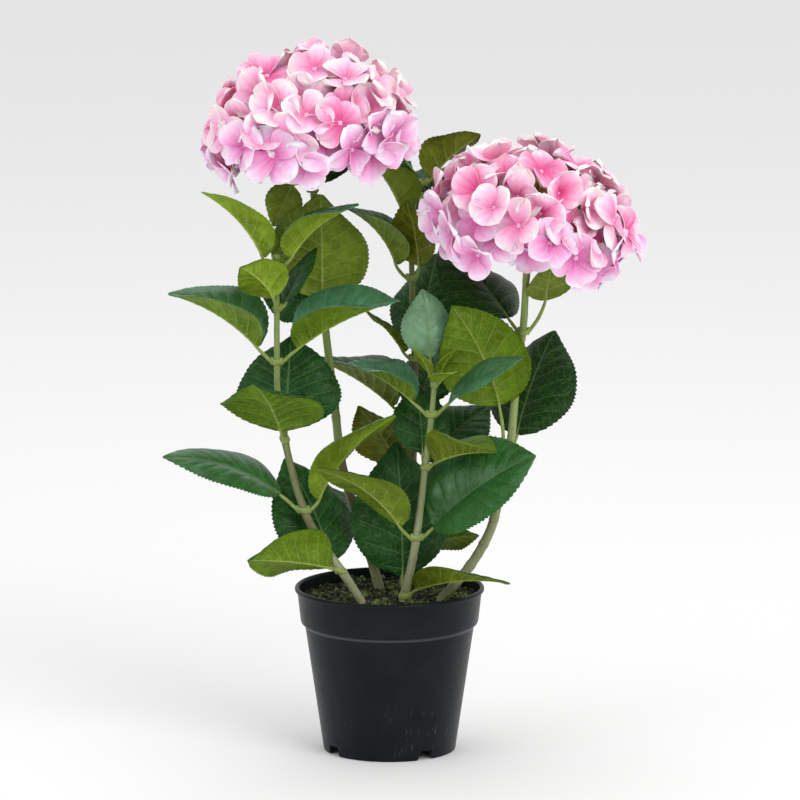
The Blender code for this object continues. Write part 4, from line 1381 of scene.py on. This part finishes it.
class FlowerSettings(bpy.types.PropertyGroup):
    """Size and colours of the florets."""
    florets: count_of("Florets", "Florets on a head", 66, 6)
    floret_radius: length_of("Floret radius", "Reach of a petal from the floret's heart", 0.0250)
    thickness: length_of("Petal thickness", "Thickness of a petal", 0.0004)
    cup: number_of("Cup", "Angle at which petals leave a floret's heart", math.radians(24),
                   subtype="ANGLE", min=0.0)
    ruffle: number_of("Ruffle", "Height of the rim's waves as a share of a petal's length", 0.095)
    flatten: length_of("Flatten", "How far the topmost florets are pressed down", 0.004)
    sway: number_of("Sway", "How far florets lean", 0.42, min=0.0)
    heart_rosy: colour_of("Rosy base", "Deep pink at the petals' base", 224, 84, 148)
    middle_rosy: colour_of("Rosy middle", "Pink of the petals", 244, 160, 200)
    rim_rosy: colour_of("Rosy rim", "Pale rim", 253, 230, 238)
    heart_pale: colour_of("Pale base", "Pink base of pale petals", 236, 118, 174)
    middle_pale: colour_of("Pale middle", "Light pink of pale petals", 250, 196, 222)
    rim_pale: colour_of("Pale rim", "Cream rim", 253, 243, 240)
    heart_lilac: colour_of("Lilac base", "Base of the lower petals", 216, 102, 172)
    middle_lilac: colour_of("Lilac middle", "Lilac pink of the lower petals", 242, 180, 220)
    rim_lilac: colour_of("Lilac rim", "Pale lilac rim", 250, 234, 246)
    bead: colour_of("Bead", "Closed bud in a floret's heart", 244, 190, 212)
    core: colour_of("Heart", "Heart of a head, in its gaps", 146, 136, 40)
    stalk: colour_of("Stalk", "Flower stalks", 142, 156, 78)


class StageSettings(bpy.types.PropertyGroup):
    """Floor, light and camera."""
    floor: colour_of("Floor", "Colour of the floor", 244, 244, 244)
    floor_size: length_of("Floor size", "Width of the floor", 24.0)
    world: colour_of("Surround", "Colour of the surrounding light", 255, 255, 255)
    world_strength: number_of("Surround light", "Strength of the surrounding light", 0.82)
    key: number_of("Key light", "Power of the large light in front", 40.0, unit="POWER")
    fill: number_of("Fill light", "Power of the two smaller lights", 10.0, unit="POWER")
    camera_distance: length_of("Camera distance", "From the middle of the frame", 6.0)
    frame_width: length_of("Frame width", "Width that the camera sees", PIXELS / PIXELS_PER_METRE)
    aim_x: length_of("Aim across", "Middle of the frame, to the right", MIDDLE_PIXELS / PIXELS_PER_METRE)
    aim_z: length_of("Aim height", "Middle of the frame, above the floor",
                     LEVEL_PIXELS / PIXELS_PER_METRE_UP)
    camera_elevation: number_of("Camera elevation", "How steeply the camera looks down",
                                math.radians(10.5), subtype="ANGLE")


class HYDRANGEA_OT_pot(bpy.types.Operator):
    """Mould the pot with its rim, collar and foot notches"""
    bl_idname = "hydrangea.pot"
    bl_label = "Pot"

    def execute(self, context):
        make_pot(context.scene.hydrangea_pot)
        return {"FINISHED"}


class HYDRANGEA_OT_moss(bpy.types.Operator):
    """Lay the moss bed and its crumbs"""
    bl_idname = "hydrangea.moss"
    bl_label = "Moss"

    def execute(self, context):
        look = context.scene.hydrangea_moss
        tones = [crumb_finish(name, getattr(look, name)) for name in MOSS_TONES]
        # The bed takes only the darkest tone, painted shade between the crumbs.
        make_moss_bed([tones[-1]])
        make_moss_crumbs(look, tones)
        return {"FINISHED"}


class HYDRANGEA_OT_stems(bpy.types.Operator):
    """Grow the five stems"""
    bl_idname = "hydrangea.stems"
    bl_label = "Stems"

    def execute(self, context):
        look = context.scene.hydrangea_stem
        for key in STEMS:
            # The back stem's upper colour is darkened: painted shade.
            high = scaled(look.high, BACK_PAINTED_SHADE if key == BACK_STEM else 1.0)
            make_stem(key, Stem(key), look, stem_finish(key, look, look.low, high))
        return {"FINISHED"}


class HYDRANGEA_OT_leaves(bpy.types.Operator):
    """Set the leaf pairs on their collars"""
    bl_idname = "hydrangea.leaves"
    bl_label = "Leaves"

    def execute(self, context):
        look = context.scene.hydrangea_leaf
        tones = {}
        ribs = {}
        for name in UPPER_TONES + UNDER_TONES:
            colour = Vector(getattr(look, name))
            upper = name in UPPER_TONES
            vein = colour.lerp(Vector(look.vein_top if upper else look.vein_under), look.vein_share)
            rough = UPPER_ROUGH if upper else UNDER_ROUGH
            tones[name] = blade_finish(name, colour, vein, rough, name in GLOSSY_TONES)
            ribs[name] = rib_finish(name, vein)
        stalk = rib_finish("petiole", look.petiole)
        for key, (node, *leaves) in PAIRS.items():
            make_pair(key, Stem(key[0]), node, leaves, look, tones, ribs, stalk)
        return {"FINISHED"}


class HYDRANGEA_OT_heads(bpy.types.Operator):
    """Build the two flower heads"""
    bl_idname = "hydrangea.heads"
    bl_label = "Flower heads"

    def execute(self, context):
        look = context.scene.hydrangea_flower
        petals = []
        for family in PETAL_FAMILIES:
            heart, middle, rim = [Vector(getattr(look, part + "_" + family))
                                  for part in ("heart", "middle", "rim")]
            for band in range(PETAL_TONES):
                share = band / (PETAL_TONES - 1)
                mixed = heart.lerp(middle, share * 2) if share < 0.5 else middle.lerp(rim, share * 2 - 1)
                petals.append(petal_finish("%s_%d" % (family, band), mixed))
        softs = {"bead": soft_finish("bead", look.bead, 0.5),
                 "heart": soft_finish("heart", look.core, 0.8),
                 "stalk": soft_finish("stalk", look.stalk, 0.55)}
        for key, head in HEADS.items():
            make_head(key, head, Stem(head["stem"]), look, petals, softs)
        return {"FINISHED"}


class HYDRANGEA_OT_stage(bpy.types.Operator):
    """Set the floor, the lights and the camera"""
    bl_idname = "hydrangea.stage"
    bl_label = "Stage"

    def execute(self, context):
        look = context.scene.hydrangea_stage
        make_floor(look)
        make_world(look)
        for name, (spot, aim, width, power, colour) in LIGHTS.items():
            area_light(name, spot, aim, width, getattr(look, power), colour)
        make_camera(look)
        context.scene.view_settings.view_transform = "Standard"
        return {"FINISHED"}


STEPS = (HYDRANGEA_OT_stage, HYDRANGEA_OT_pot, HYDRANGEA_OT_moss, HYDRANGEA_OT_stems, HYDRANGEA_OT_leaves,
         HYDRANGEA_OT_heads)
GROUPS = {"hydrangea_pot": PotSettings, "hydrangea_moss": MossSettings, "hydrangea_stem": StemSettings,
          "hydrangea_leaf": LeafSettings, "hydrangea_flower": FlowerSettings,
          "hydrangea_stage": StageSettings}


class HYDRANGEA_PT_panel(bpy.types.Panel):
    """Lists the steps and what may be changed before each"""
    bl_idname = "HYDRANGEA_PT_panel"
    bl_label = "Potted hydrangea"
    bl_space_type = "VIEW_3D"
    bl_region_type = "UI"
    bl_category = "Hydrangea"

    def draw(self, context):
        for step in STEPS:
            self.layout.operator(step.bl_idname)
        for name, group in GROUPS.items():
            box = self.layout.box()
            box.label(text=group.__doc__)
            for field in group.__annotations__:
                box.prop(getattr(context.scene, name), field)


def register():
    for kind in (*GROUPS.values(), *STEPS, HYDRANGEA_PT_panel):
        bpy.utils.register_class(kind)
    for name, group in GROUPS.items():
        setattr(bpy.types.Scene, name, bpy.props.PointerProperty(type=group))


def unregister():
    for name in GROUPS:
        delattr(bpy.types.Scene, name)
    for kind in (HYDRANGEA_PT_panel, *STEPS[::-1], *list(GROUPS.values())[::-1]):
        bpy.utils.unregister_class(kind)


def main():
    register()
    bpy.ops.hydrangea.stage()
    bpy.ops.hydrangea.pot()
    bpy.ops.hydrangea.moss()
    bpy.ops.hydrangea.stems()
    bpy.ops.hydrangea.leaves()
    bpy.ops.hydrangea.heads()


if __name__ == "__main__":
    main()
